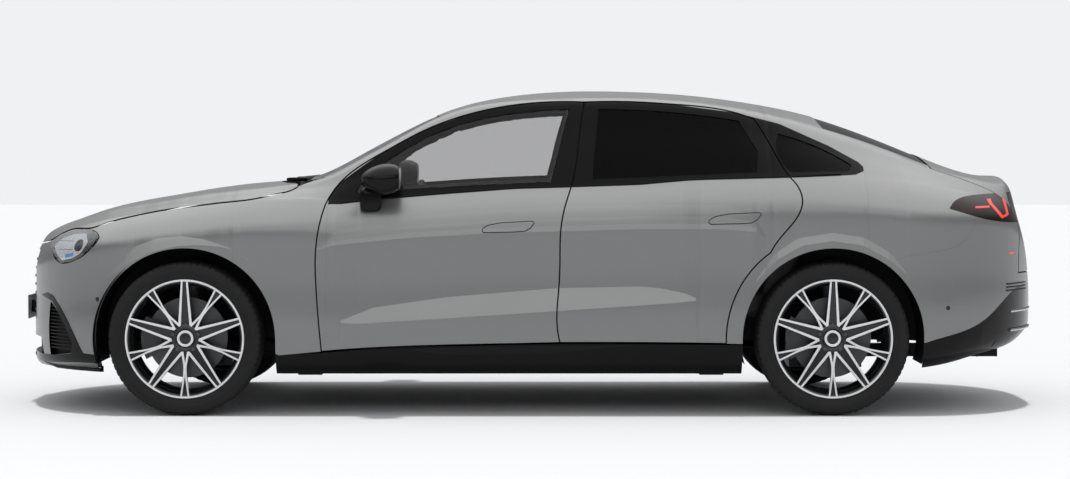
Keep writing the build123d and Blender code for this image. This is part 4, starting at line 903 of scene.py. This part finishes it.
def wheel_parts(look):
    """The rim with its barrel, spokes, hub, cap, bolts and brake disc about the axle."""
    parts = Parts()
    r = RIM_RADIUS
    parts.add(ring_shape([(r, 0.1), (r, 0.1115), (r - 0.0012, 0.1128), (r - 0.0083, 0.1128),
                          (r - 0.0095, 0.1110), (r - 0.011, 0.1065), (r - 0.0115, 0.098)], 240), 0)
    parts.add(ring_shape([(r - 0.001, 0.104), (r - 0.0108, 0.1062), (0.2575, 0.096),
                          (0.2530, 0.078), (0.2480, 0.064), (0.2440, 0.060), (0.2440, 0.048),
                          (0.2415, 0.044), (0.2405, -0.070), (0.2490, -0.098), (r - 0.008, -0.112),
                          (r, -0.112), (r, -0.104), (0.2550, -0.099), (0.2500, -0.070),
                          (0.2500, 0.070), (0.2560, 0.099)], 200), 1)
    wheel_face(parts, look)
    parts.add(ring_shape([(0.001, 0.030), (0.076, 0.030), (0.076, 0.066), (0.066, 0.079),
                          (0.052, 0.083), (0.044, 0.080), (0.0405, 0.074), (0.001, 0.074)], 120), 1)
    parts.add(ring_shape([(0.0376, 0.070), (0.0376, 0.0852), (0.0362, 0.0866), (0.0285, 0.0866),
                          (0.0262, 0.0845), (0.0262, 0.070)], 96), 0)
    parts.add(ring_shape([(0.0005, 0.070), (0.0258, 0.070), (0.0258, 0.0828), (0.0170, 0.0842),
                          (0.0005, 0.0848)], 72), 1)
    for spoke in range(0, SPOKES, 2):
        parts.add(lug(0.0615, math.radians(90 + 360 / SPOKES * spoke), 0.0088, 0.0835), 2)
    parts.add(ring_shape([(0.075, -0.001), (0.1846, -0.001), (0.185, -0.003), (0.185, -0.0115),
                          (0.182, -0.013), (0.182, -0.019), (0.185, -0.0205), (0.185, -0.030),
                          (0.1846, -0.0315), (0.124, -0.0315), (0.124, -0.009), (0.075, -0.009)],
                         160), 2)
    parts.add(ring_shape([(0.055, 0.033), (0.080, 0.033), (0.082, 0.030), (0.082, -0.0005),
                          (0.075, -0.0005), (0.074, 0.026), (0.055, 0.026)], 120), 3)
    return parts


def tyre_parts(look):
    """The tyre: its wall bulges between bead and shoulder and carries rings; its crown has four
    grooves, and the shoulders are notched where the turn's share of a lug is under a quarter."""
    wall = [(0.2730, 0.1010), (0.2745, 0.1095), (0.2775, 0.1135), (0.2805, 0.1150),
            (0.2822, 0.1148), (0.2835, 0.1162), (0.2900, 0.1192), (0.2910, 0.1187),
            (0.2925, 0.1201), (0.3010, 0.1222), (0.3022, 0.1216), (0.3040, 0.1229),
            (0.3130, 0.1232), (0.3142, 0.1225), (0.3158, 0.1230), (0.3230, 0.1218),
            (0.3242, 0.1210), (0.3258, 0.1212), (0.3330, 0.1188), (0.3400, 0.1150),
            (0.3452, 0.1095), (0.3482, 0.1020), (0.3490, 0.0940)]
    crown = [(0.3496, 0.0840), (0.3498, 0.0760), (0.3420, 0.0745), (0.3420, 0.0665),
             (0.3495, 0.0650), (0.3508, 0.0400), (0.3510, 0.0330), (0.3435, 0.0315),
             (0.3435, 0.0215), (0.3514, 0.0200), (0.3520, 0.0)]
    outer = wall + crown
    inner = [(0.2640, 0.0975), (0.2600, 0.085)]
    half = np.array(inner[::-1] + outer)
    profile = np.vstack([half, half[-2::-1] * (1, -1)])
    count = look.tread_lugs * 6
    points, faces = turned(profile, count, closed=True)
    phase = (np.arange(count) % 6)[:, None]
    shoulder = (np.abs(profile[:, 1]) > 0.083) & (profile[:, 0] > 0.338)
    cut = np.where(shoulder[None] & (phase == 0), 1 - 0.0042 / profile[:, 0], 1.0)
    points[..., 0] *= cut
    points[..., 2] *= cut
    parts = Parts()
    parts.add((points, faces), 0)
    return parts


def at_axle(x, side):
    """Moves a wheel's points, given as (x, outward, z), to its axle on one side."""
    return lambda p: np.stack([p[:, 0] + x, side * (WHEEL_Y + p[:, 1]), p[:, 2] + WHEEL_RADIUS], 1)


CORNERS = (("front_left", FRONT_AXLE_X, -1), ("front_right", FRONT_AXLE_X, 1),
           ("rear_left", REAR_AXLE_X, -1), ("rear_right", REAR_AXLE_X, 1))


def build_wheels():
    look = settings()
    parts = wheel_parts(look)
    for corner, x, side in CORNERS:
        name = f"{corner}_alloy"
        mesh = parts.mesh(name, [machined(), dark_alloy(), steel(), satin_black()], 32,
                          at_axle(x, side))
        obj = link(name, mesh, BODY_OF[f"{corner}_wheel"])
        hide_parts(f"{corner}_wheel")


def build_tyres():
    parts = tyre_parts(settings())
    for corner, x, side in CORNERS:
        name = f"{corner}_rubber"
        mesh = parts.mesh(name, [rubber()], 38, at_axle(x, side))
        obj = link(name, mesh, BODY_OF[f"{corner}_tyre"])
        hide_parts(f"{corner}_tyre")


def build_panels():
    paint = body_paint()
    for node_name in ("body_sides", "front_fenders", "front_bumper", "hood", "roof_panel",
                      "rear_bumper", "trunk_lid", "front_left_door", "front_right_door",
                      "rear_left_door", "rear_right_door"):
        # The inner faces take the dark material: painted shade that darkens the shut lines, where
        # the real flanges are body colour, and real dark trim where the doors' insides show.
        skin_copy(node_name, f"{node_name}_skin", paint, dark())
    for node_name, skin in (("sill_trims", satin_black()), ("rear_diffuser", gloss_black()),
                            ("cowl", satin_black())):
        skin_copy(node_name, f"{node_name}_skin", skin, dark())


def build_glazing():
    look = settings()
    clear = glass("Clear glass", (look.front_tint,) * 3, 1.25)
    shade = glass("Privacy glass", (look.rear_tint,) * 3, 1.12)
    for node_name in ("windshield", "front_left_window", "front_right_window"):
        skin_copy(node_name, f"{node_name}_glass", clear, clear)
    for node_name in ("rear_left_window", "rear_right_window", "quarter_windows", "rear_window"):
        skin_copy(node_name, f"{node_name}_glass", shade, shade)


def wider(line, up):
    """A handle's drawn outline moved up and stretched by 1.5 mm at each end, for its joint."""
    return [(x + (x - line[0][0] > 100) * 3 - 1.5, z + up) for x, z in line]


def build_side_trim():
    for pair, upper, lower in HANDLES:
        joint, grip = Parts(), Parts()
        joint.add(slab(wider(upper, 3.5), wider(lower, -3.5), 0.0006, 0.004))
        grip.add(slab(upper, lower, 0.0035, 0.006))
        tag = pair[0].split("_")[0]
        both_sides(f"{tag}_handle_joint", joint, [gloss_black()], pair)
        both_sides(f"{tag}_handle", grip, [body_paint()], pair, bevel=0.0016)
    spans = ((("front_left_door", "front_right_door"), "front", -850, 205),
             (("rear_left_door", "rear_right_door"), "rear", 212, 1206),
             ("shell", "quarter", 1216, 1440))
    for bodies, tag, start, end in spans:
        xs = np.linspace(start, end, 9)
        zs = np.interp(xs, *np.array(SURROUND_FOOT).T)
        path, outward = flank_path(list(zip(xs, zs + 2)))
        strip = Parts()
        strip.add(rail(path, outward, [(-0.002, -0.006), (0.0015, -0.005), (0.0028, 0.0),
                                       (0.0015, 0.006), (-0.002, 0.007)]))
        both_sides(f"{tag}_belt_strip", strip, [gloss_black()], bodies)
    blade = Parts()
    blade.add(slab(((-560, 306), (-360, 316), (100, 322), (476, 326)),
                   ((-560, 300), (-360, 279), (100, 284), (476, 320)), 0.0035, 0.006, 80, 6))
    both_sides("sill_blade", blade, [gloss_black()], "shell", bevel=0.0015)


def build_mirrors():
    for side, sign in (("left", 1), ("right", -1)):
        shell = Parts()
        body, faces = pillow((0, 0, 0), (0.205, 0.205, 0.142), (0.95, 0.7))
        body[..., 2] += 0.010 * (body[..., 0] > 0) * body[..., 0] / 0.1
        body[..., 2] *= 1 - 0.22 * np.clip(-body[..., 0] / 0.1, 0, 1)
        body[..., 0] = np.minimum(body[..., 0], 0.073)
        body = body + (-0.6585, -0.948, 1.081)
        shell.add((body, faces), 0)
        shell.add(pillow((-0.722, -0.880, 0.988), (0.100, 0.09, 0.115), (0.5, 0.5)), 0)
        ridge = pillow((-0.665, -0.948, 1.083), (0.192, 0.206, 0.007), (0.6, 0.6))
        ridge[0][..., 0] = np.minimum(ridge[0][..., 0], -0.588)
        shell.add(ridge, 1)
        glass_plate = pillow((-0.5852, -0.952, 1.083), (0.003, 0.165, 0.098), (0.4, 0.5))
        shell.add(glass_plate, 2)
        move = None if sign > 0 else mirror_points
        finishes = [gloss_black(), satin_black(), silver()]
        mesh = shell.mesh(f"{side}_mirror_shell", finishes, 40, move)
        obj = link(f"{side}_mirror_shell", mesh, BODY_OF[f"{side}_mirror"])
        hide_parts(f"{side}_mirror")


def build_arches():
    turn = np.radians(np.linspace(-4, 184, 72))[:, None]
    low = np.radians(np.linspace(-16, 196, 84))[:, None]
    liners = Parts()
    for x, y in WELL_WALLS:
        radius = np.linspace(0.02, WELL_RADIUS + WELL_SHEET, 8)[None]
        wall = np.stack(np.broadcast_arrays(
            x + radius * np.cos(turn), -y, WHEEL_RADIUS + radius * np.sin(turn)), -1)
        liners.add(closed_sheet(wall, wall + (0, WELL_SHEET, 0)))
        across = np.linspace(-y, -WELL_EDGE_Y, 6)[None]
        barrel = [np.stack(np.broadcast_arrays(
            x + r * np.cos(low), across, WHEEL_RADIUS + r * np.sin(low)), -1)
            for r in (WELL_RADIUS, WELL_RADIUS + WELL_SHEET)]
        liners.add(closed_sheet(*barrel))
    both_sides("wheelhouse_wall", liners, [dark("Liner felt")], "shell")
    wipers = Parts()
    for y0, y1, x in ((-0.60, 0.02, -1.066), (-0.10, 0.52, -1.060)):
        wipers.add(pillow((x + 0.010, (y0 + y1) / 2, 1.082), (0.036, y1 - y0, 0.016), (0.5, 0.25)))
        wipers.add(pillow((x - 0.02, y0 + 0.05, 1.077), (0.10, 0.030, 0.018), (0.5, 0.5)))
    link("wipers", wipers.mesh("wipers", [satin_black()], 40), "shell")


def build_headlamps():
    skin_copy("headlamps", "headlamp_housing", gloss_black(), dark())
    upper = ((-2236, 780), (-2179, 817), (-2098, 842), (-2019, 845), (-1976, 832), (-1962, 815))
    lower = ((-2236, 780), (-2212, 742), (-2183, 712), (-2158, 691), (-2097, 702), (-2050, 723),
             (-2001, 764), (-1962, 815))
    lens = Parts()
    lens.add(slab(upper, lower, 0.0042, 0.0012, 60, 16))
    both_sides("headlamp_lens", lens, [clear_lens()], "shell")
    bright = Parts()
    bright.add(slab(((-2206, 772), (-2160, 802), (-2098, 824), (-2032, 828)),
                    ((-2206, 772), (-2192, 742), (-2170, 715), (-2150, 704), (-2098, 715),
                     (-2050, 742), (-2016, 790)),
                    0.0012, 0.003, 60, 14), 0)
    for z in (752, 790):
        bright.add(slab(((-2178, z + 2), (-2095, z + 4)), ((-2178, z), (-2095, z + 1)), 0.0020,
                        0.002, 20, 3), 1)
    bright.add(slab(((-2132, 733), (-2104, 737), (-2092, 741)),
                    ((-2132, 716), (-2104, 720), (-2092, 724)),
                    0.0028, 0.002, 30, 3), 2)
    materials = [silver(), dark_alloy(),
                 finish("Lamp blue", (0.10, 0.26, 0.62), 0.2, 200.0, 0.1, 0.05, Metallic=0.5)]
    both_sides("headlamp_inside", bright, materials, "shell")
    eye = Parts()
    centre = side_point(np.array(-2.072), np.array(0.776), 0.0)
    normal = side_point(np.array(-2.072), np.array(0.776), 1.0) - centre
    eye.add(dome(centre, normal, 0.030, 0.0036, 0.0004), 0)
    both_sides("headlamp_projector", eye, [dark_alloy()], "shell")


def dome(centre, normal, radius, height, base, rings=12, around=48):
    """A shallow dome on a plane: height times the square root of one less the share squared."""
    normal = normal / np.linalg.norm(normal)
    aside = np.cross(normal, (0, 0, 1.0))
    aside /= np.linalg.norm(aside)
    above_it = np.cross(aside, normal)
    share = np.linspace(0, 1, rings)[:, None]
    turn = np.linspace(0, 2 * math.pi, around, endpoint=False)[None]
    rise = height * np.sqrt(np.clip(1 - share**2, 0, 1)) + base
    points = (centre + radius * share[..., None] * (np.cos(turn)[..., None] * aside
                                                   + np.sin(turn)[..., None] * above_it)
              + (rise * np.ones_like(turn))[..., None] * normal)
    low = points[-1] - normal * (base + 0.002)
    grid = np.concatenate([points, low[None]])
    faces = grid_faces(rings + 1, around, close_columns=True).tolist()
    faces.append(list(range(rings * around, (rings + 1) * around)))
    return grid.reshape(-1, 3), faces


def build_tail_lamps():
    skin_copy("tail_lamps", "tail_lamp_lens", smoked_lens(), dark())
    skin_copy("trunk_lamps", "trunk_lamp_lens", smoked_lens(), dark())
    red = Parts()
    for upper, lower in ((((2060, 955), (2136, 957)), ((2060, 946), (2136, 948))),
                         (((2128, 987), (2150, 988)), ((2136, 966), (2156, 966))),
                         (((2136, 966), (2156, 966)), ((2196, 898), (2210, 904))),
                         (((2196, 907), (2236, 922)), ((2196, 896), (2240, 912))),
                         (((2222, 988), (2238, 985)), ((2226, 918), (2240, 914)))):
        red.add(slab(upper, lower, 0.0016, 0.003, 16, 8))
    both_sides("tail_lamp_light", red, [red_lens()], "shell", bevel=0.0006)
    marker = Parts()
    marker.add(slab(((2238, 738), (2268, 740)), ((2238, 729), (2268, 730)), 0.0022, 0.004, 12, 4))
    both_sides("rear_marker", marker, [red_lens()], "shell", bevel=0.0008)


def build_nose():
    skin_copy("grille", "grille_back", satin_black(), dark())
    bars = Parts()
    for z in np.arange(0.455, 0.730, 0.040):
        path, outward = plan_contour(z, -2.0, 160)
        keep = np.abs(path[:, 1]) < 0.345
        bars.add(rail(path[keep], outward[keep], [(-0.010, -0.004), (0.0, -0.0045), (0.002, 0.0),
                                                  (0.0, 0.0045), (-0.010, 0.004)]), 0)
    link("grille_bars", bars.mesh("grille_bars", [silver()]), "shell")
    lip = Parts()
    path, outward = plan_contour(0.212, -1.972, 180)
    rise = np.interp(-path[:, 0], (1.93, 2.2, 2.38), (0.0, 0.006, 0.045))
    path[:, 2] = 0.200 + rise
    lip.add(rail(path, outward, [(-0.02, -0.012), (0.006, -0.010), (0.009, -0.003), (0.006, 0.004),
                                 (-0.004, 0.016), (-0.02, 0.016)]), 0)
    link("front_splitter", lip.mesh("front_splitter", [gloss_black()]), "shell")
    line = Parts()
    path[:, 2] += 0.010
    line.add(rail(path, outward, [(0.0, -0.002), (0.0045, -0.002), (0.0045, 0.002), (0.0, 0.002)]),
             0)
    link("splitter_line", line.mesh("splitter_line", [silver()]), "shell")
    curtain = Parts()
    curtain.add(slab(((-2289, 534), (-2244, 549), (-2210, 537), (-2165, 486), (-2121, 420),
                      (-2080, 342), (-2043, 268)),
                     ((-2289, 534), (-2216, 510), (-2184, 469), (-2139, 398), (-2105, 326),
                      (-2108, 290), (-2113, 262)), 0.0016, 0.005, 60, 5), 0)
    curtain.add(slab(((-2335, 262), (-2280, 256), (-2200, 260), (-2105, 273), (-2043, 277),
                      (-1957, 270)),
                     ((-2335, 222), (-2280, 214), (-2200, 207), (-2105, 202), (-2043, 201),
                      (-1957, 200)),
                     0.0014, 0.004, 60, 5), 0)
    both_sides("curtain_edge", curtain, [gloss_black()], "shell", bevel=0.001)
    slats = Parts()
    for z in range(292, 500, 16):
        left = np.interp(z, (274, 324, 396, 466, 508), (-2225, -2235, -2237, -2232, -2222))
        right = np.interp(z, (274, 324, 396, 466, 508), (-2118, -2112, -2145, -2190, -2214))
        slats.add(slab(((left, z + 4), (right, z + 4)), ((left, z), (right, z)),
                       -0.004, 0.006, 16, 3))
    both_sides("curtain_slats", slats, [satin_black()], "shell")
    sensors = Parts()
    for x, z in ((-1.9785, 0.530), (1.9145, 0.493)):
        centre = side_point(np.array(x), np.array(z))
        normal = side_point(np.array(x), np.array(z), 1.0) - centre
        sensors.add(dome(centre, normal, 0.0105, 0.0008, 0.0004))
    both_sides("parking_sensor", sensors, [dark_alloy()], "shell")


def build_tail():
    fins = Parts()
    for z in (0.562, 0.577, 0.592):
        path, outward = plan_contour(z, 2.0, 160)
        keep = (np.abs(path[:, 1]) > 0.46) & (path[:, 0] > 2.21) & (path[:, 1] < 0)
        fins.add(rail(path[keep], outward[keep], [(-0.004, -0.004), (0.004, -0.003), (0.005, 0.0),
                                                  (0.004, 0.003), (-0.004, 0.004)]))
    both_sides("apron_fins", fins, [satin_black()], "shell")
    trim = Parts()
    path, outward = plan_contour(0.42, 2.0, 160)
    keep = (path[:, 1] < -0.30) & (path[:, 0] > 2.24)
    path, outward = path[keep], outward[keep]
    for middle in (-0.044, 0.044):
        trim.add(rail(path, outward,
                      [(-0.006, middle - 0.008), (0.003, middle - 0.006), (0.005, middle),
                       (0.003, middle + 0.006), (-0.006, middle + 0.008)]))
    both_sides("outlet_trim", trim, [silver()], "shell")
    plate = cad_copy("number_plate", "blank_plate")
    plate.data.materials.append(finish("Plate white", (0.78, 0.78, 0.76), 0.35, 200.0, 0.04, 0.1))
    plate.data.materials.append(satin_black())
    for face in plate.data.polygons:
        face.material_index = int(abs(face.normal.x) < 0.7)
    round_edges(plate, 0.0015)


def seat_pads(y):
    """One front seat's pads: cushion, two side bolsters, backrest, its bolsters and headrest."""
    lean = math.radians(18)
    pads = [("cushion", pillow((-0.075, y, 0.520), (0.53, 0.36, 0.17), flutes=0.007), 0.8)]
    for side in (-1, 1):
        pads.append((f"bolster_{side + 1}",
                     pillow((-0.075, y + side * 0.215, 0.535), (0.52, 0.10, 0.19)), 0.9))
    pads.append(("back", pillow((0.215, y, 0.80), (0.13, 0.34, 0.60), turn=lean), 0.8))
    for side in (-1, 1):
        shape = pillow((0.200, y + side * 0.205, 0.79), (0.16, 0.10, 0.56), turn=lean)
        pads.append((f"back_bolster_{side + 1}", shape, 0.9))
    head = pillow((0.335, y, 1.135), (0.10, 0.26, 0.18), (0.55, 0.5), turn=lean * 0.5)
    pads.append(("headrest", head, 0.9))
    return pads


def build_cabin():
    for tag, y in (("driver", -0.385), ("passenger", 0.385)):
        for name, shape, fill in seat_pads(y):
            pad(f"{tag}_seat_{name}", shape)
    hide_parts("front_seats")
    for index, y in enumerate((-0.46, 0.0, 0.46)):
        seat = pillow((0.88, y, 0.50), (0.50, 0.45, 0.15), flutes=0.006)
        back = pillow((1.20, y * 0.97, 0.72), (0.14, 0.44, 0.52), turn=math.radians(22))
        pad(f"bench_cushion_{index}", seat)
        pad(f"bench_back_{index}", back)
    for index, y in enumerate((-0.42, 0.42)):
        head = pillow((1.31, y, 1.02), (0.10, 0.24, 0.15), (0.55, 0.5), turn=math.radians(14))
        pad(f"bench_headrest_{index}", head)
    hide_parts("rear_bench")
    plastic = finish("Cabin plastic", (0.028, 0.028, 0.029), 0.55, 900.0, 0.2, 0.12, bump=0.00008)
    for node_name in ("dashboard", "steering_wheel"):
        obj = cad_copy(node_name, f"{node_name}_trim", 30)
        obj.data.materials.append(plastic)
        round_edges(obj, 0.004 if node_name == "dashboard" else 0.001)


def pad(name, shape):
    """One leather pad on the shell."""
    parts = Parts()
    parts.add(shape)
    obj = link(name, parts.mesh(name, [leather()], 60), "shell")
    return obj


def build_chassis():
    finishes = (("underbody", dark("Chassis black")), ("battery_pack", dark("Chassis black")),
                ("front_suspension", steel_grey()), ("rear_suspension", steel_grey()),
                ("rear_uprights", steel_grey()), ("front_left_upright", steel_grey()),
                ("front_right_upright", steel_grey()))
    for node_name, material in finishes:
        mesh = frame["nodes"][node_name].data
        mesh.materials.clear()
        mesh.materials.append(material)


def steel_grey():
    """Cast metal under the body."""
    return finish("Cast steel", (0.085, 0.087, 0.09), 0.5, 260.0, 0.3, 0.15, bump=0.0001,
                  Metallic=0.6)


def build_stage():
    look = settings()
    xs, ys = np.meshgrid(np.linspace(-60, 60, 9), np.linspace(-40, 46, 9), indexing="ij")
    points = np.stack([xs, ys, np.zeros((9, 9))], -1)
    mesh = make_mesh("studio_floor", points, grid_faces(9, 9)[:, ::-1])
    mesh.materials.append(finish("Studio floor", tuple(look.floor), 0.85, 2.0, 0.01, 0.02))
    link("studio_floor", mesh, None)
    world = bpy.data.worlds.new("Studio")
    bpy.context.scene.world = world
    world.use_nodes = True
    tree = world.node_tree
    light = tree.nodes["Background"]
    path = tree.nodes.new("ShaderNodeLightPath")
    place = tree.nodes.new("ShaderNodeTexCoord")
    axes = tree.nodes.new("ShaderNodeSeparateXYZ")
    tree.links.new(place.outputs["Generated"], axes.inputs[0])
    ramp = tree.nodes.new("ShaderNodeValToRGB")
    stops = ramp.color_ramp.elements
    stops[0].position, stops[0].color = SKY_LOW
    stops[1].position, stops[1].color = SKY_HIGH
    stops.new(SKY_MIDDLE[0]).color = SKY_MIDDLE[1]
    tree.links.new(axes.outputs[2], ramp.inputs[0])
    mirrored = node(tree, "ShaderNodeMix", data_type="RGBA")
    tree.links.new(path.outputs["Is Glossy Ray"], mirrored.inputs[0])
    mirrored.inputs[6].default_value = (*look.daylight, 1)
    brighter = node(tree, "ShaderNodeVectorMath", operation="SCALE")
    brighter.inputs["Scale"].default_value = SKY_GAIN
    tree.links.new(ramp.outputs[0], brighter.inputs[0])
    tree.links.new(brighter.outputs[0], mirrored.inputs[7])
    seen = node(tree, "ShaderNodeMix", data_type="RGBA")
    direct = maths(tree, "MAXIMUM", path.outputs["Is Camera Ray"],
                   path.outputs["Is Transmission Ray"])
    tree.links.new(direct, seen.inputs[0])
    tree.links.new(mirrored.outputs[2], seen.inputs[6])
    seen.inputs[7].default_value = (*look.backdrop, 1)
    tree.links.new(seen.outputs[2], light.inputs["Color"])
    sun = bpy.data.lights.new("High sun", "SUN")
    sun.energy, sun.angle = look.sun, SUN_ANGLE
    high = bpy.data.objects.new("High sun", sun)
    high.location = (0, 0, 8)
    high.visible_glossy = False
    bpy.context.scene.collection.objects.link(high)
    data = bpy.data.lights.new("Front fill", "AREA")
    data.shape, (data.size, data.size_y), data.energy = "RECTANGLE", LAMP_SIZE, look.fill
    lamp = bpy.data.objects.new("Front fill", data)
    lamp.location = LAMP_PLACE
    lamp.rotation_euler = Vector(LAMP_AIM).to_track_quat("-Z", "Y").to_euler()
    bpy.context.scene.collection.objects.link(lamp)
    data = bpy.data.cameras.new("Camera")
    data.lens, data.sensor_width = CAMERA_LENS, CAMERA_SENSOR
    camera = bpy.data.objects.new("Camera", data)
    camera.location = CAMERA_PLACE
    camera.rotation_euler = (CAMERA_PITCH, 0, 0)
    bpy.context.scene.collection.objects.link(camera)
    bpy.context.scene.camera = camera
    bpy.context.scene.view_settings.view_transform = "Standard"


# Add-on


class SedanSettings(bpy.types.PropertyGroup):
    """Sizes and colours of the finished pieces."""

    paint: bpy.props.FloatVectorProperty(
        name="Paint", description="Body colour", subtype="COLOR", size=3, min=0, max=1,
        default=(0.205, 0.207, 0.206))
    paint_roughness: bpy.props.FloatProperty(
        name="Paint roughness", description="Roughness under the clear coat", min=0, max=1,
        default=0.38)
    paint_metallic: bpy.props.FloatProperty(
        name="Paint flake", description="Share of metallic flake", min=0, max=1, default=0.55)
    front_tint: bpy.props.FloatProperty(
        name="Front glass", description="Light let through the front glass", min=0, max=1,
        default=0.66)
    rear_tint: bpy.props.FloatProperty(
        name="Rear glass", description="Light let through the rear glass", min=0, max=1,
        default=0.012)
    spoke_dish: bpy.props.FloatProperty(
        name="Spoke dish", description="How far the spokes fall toward the hub", unit="LENGTH",
        min=0, max=0.06, default=0.024)
    tread_lugs: bpy.props.IntProperty(
        name="Shoulder lugs", description="Lugs round the tyre's shoulder", min=24, max=96,
        default=72)
    floor: bpy.props.FloatVectorProperty(
        name="Floor", description="Studio floor colour", subtype="COLOR", size=3, min=0, max=1,
        default=(0.86, 0.865, 0.875))
    daylight: bpy.props.FloatVectorProperty(
        name="Daylight", description="Light from all round", subtype="COLOR", size=3, min=0, max=1,
        default=(0.52, 0.525, 0.535))
    sun: bpy.props.FloatProperty(
        name="Sun", description="Strength of the sun above the car", min=0, default=1.75)
    backdrop: bpy.props.FloatVectorProperty(
        name="Backdrop", description="Colour seen behind the car", subtype="COLOR", size=3, min=0,
        max=1,
        default=(0.875, 0.88, 0.895))
    fill: bpy.props.FloatProperty(
        name="Front lamp", description="Power of the lamp by the camera", unit="POWER", min=0,
        default=70)


class SEDAN_OT_panels(bpy.types.Operator):
    """The painted panels and the black lower trims."""

    bl_idname = "sedan.panels"
    bl_label = "Panels"
    bl_options = {"REGISTER", "UNDO"}

    def execute(self, context):
        build_panels()
        return {"FINISHED"}


class SEDAN_OT_glazing(bpy.types.Operator):
    """Clear glass in front and dark glass behind the centre pillar."""

    bl_idname = "sedan.glazing"
    bl_label = "Glazing"
    bl_options = {"REGISTER", "UNDO"}

    def execute(self, context):
        build_glazing()
        return {"FINISHED"}


class SEDAN_OT_wheels(bpy.types.Operator):
    """Four alloy wheels, each with its brake disc."""

    bl_idname = "sedan.wheels"
    bl_label = "Wheels"
    bl_options = {"REGISTER", "UNDO"}

    def execute(self, context):
        build_wheels()
        return {"FINISHED"}


class SEDAN_OT_tyres(bpy.types.Operator):
    """Four tyres."""

    bl_idname = "sedan.tyres"
    bl_label = "Tyres"
    bl_options = {"REGISTER", "UNDO"}

    def execute(self, context):
        build_tyres()
        return {"FINISHED"}


class SEDAN_OT_side_trim(bpy.types.Operator):
    """Door handles with their dark joints, the belt strips and the sill blades."""

    bl_idname = "sedan.side_trim"
    bl_label = "Side trim"
    bl_options = {"REGISTER", "UNDO"}

    def execute(self, context):
        build_side_trim()
        return {"FINISHED"}


class SEDAN_OT_mirrors(bpy.types.Operator):
    """Door mirrors: a rounded black shell, flat behind with its glass, on a short foot."""

    bl_idname = "sedan.mirrors"
    bl_label = "Mirrors"
    bl_options = {"REGISTER", "UNDO"}

    def execute(self, context):
        build_mirrors()
        return {"FINISHED"}


class SEDAN_OT_arches(bpy.types.Operator):
    """Dark wheelhouses round the wheels, and wiper arms at the windshield's foot."""

    bl_idname = "sedan.arches"
    bl_label = "Wheelhouses and wipers"
    bl_options = {"REGISTER", "UNDO"}

    def execute(self, context):
        build_arches()
        return {"FINISHED"}


class SEDAN_OT_headlamps(bpy.types.Operator):
    """Headlamps: dark housings, reflector, bars and projector, with a clear lens over them."""

    bl_idname = "sedan.headlamps"
    bl_label = "Headlamps"
    bl_options = {"REGISTER", "UNDO"}

    def execute(self, context):
        build_headlamps()
        return {"FINISHED"}


class SEDAN_OT_tail_lamps(bpy.types.Operator):
    """Tail lamps: smoked lenses with a red loop and bar on them, and the red side markers."""

    bl_idname = "sedan.tail_lamps"
    bl_label = "Tail lamps"
    bl_options = {"REGISTER", "UNDO"}

    def execute(self, context):
        build_tail_lamps()
        return {"FINISHED"}


class SEDAN_OT_nose(bpy.types.Operator):
    """Grille bars, air curtains, splitter and sensors."""

    bl_idname = "sedan.nose"
    bl_label = "Nose"
    bl_options = {"REGISTER", "UNDO"}

    def execute(self, context):
        build_nose()
        return {"FINISHED"}


class SEDAN_OT_tail(bpy.types.Operator):
    """Silver outlet trims and dark fins on the lower rear apron."""

    bl_idname = "sedan.tail"
    bl_label = "Tail"
    bl_options = {"REGISTER", "UNDO"}

    def execute(self, context):
        build_tail()
        return {"FINISHED"}


class SEDAN_OT_cabin(bpy.types.Operator):
    """Padded seats, dashboard and steering wheel."""

    bl_idname = "sedan.cabin"
    bl_label = "Cabin"
    bl_options = {"REGISTER", "UNDO"}

    def execute(self, context):
        build_cabin()
        return {"FINISHED"}


class SEDAN_OT_chassis(bpy.types.Operator):
    """Finishes for the parts under the body, which keep their CAD shapes."""

    bl_idname = "sedan.chassis"
    bl_label = "Chassis"
    bl_options = {"REGISTER", "UNDO"}

    def execute(self, context):
        build_chassis()
        return {"FINISHED"}


class SEDAN_OT_stage(bpy.types.Operator):
    """A pale floor under a pale sky, a soft sun straight above, one front lamp and the camera."""

    bl_idname = "sedan.stage"
    bl_label = "Stage"
    bl_options = {"REGISTER", "UNDO"}

    def execute(self, context):
        build_stage()
        return {"FINISHED"}


STEPS = (SEDAN_OT_panels, SEDAN_OT_glazing, SEDAN_OT_wheels, SEDAN_OT_tyres, SEDAN_OT_side_trim,
         SEDAN_OT_mirrors, SEDAN_OT_arches, SEDAN_OT_headlamps, SEDAN_OT_tail_lamps, SEDAN_OT_nose,
         SEDAN_OT_tail, SEDAN_OT_cabin, SEDAN_OT_chassis, SEDAN_OT_stage)


class SEDAN_PT_pieces(bpy.types.Panel):
    """Lists the pieces of the sedan."""

    bl_idname = "SEDAN_PT_pieces"
    bl_label = "Sedan"
    bl_space_type = "VIEW_3D"
    bl_region_type = "UI"
    bl_category = "Sedan"

    def draw(self, context):
        for name in SedanSettings.__annotations__:
            self.layout.prop(context.scene.sedan, name)
        for step in STEPS:
            self.layout.operator(step.bl_idname)


CLASSES = (SedanSettings, *STEPS, SEDAN_PT_pieces)


def register():
    """Adds the classes and the settings to Blender."""
    for item in CLASSES:
        bpy.utils.register_class(item)
    bpy.types.Scene.sedan = bpy.props.PointerProperty(type=SedanSettings)


def unregister():
    """Takes the classes and the settings out again."""
    del bpy.types.Scene.sedan
    for item in reversed(CLASSES):
        bpy.utils.unregister_class(item)


def main():
    """Builds every piece."""
    register()
    for step in STEPS:
        name = step.bl_idname.split(".")[1]
        getattr(bpy.ops.sedan, name)()


if __name__ == "__main__":
    main()
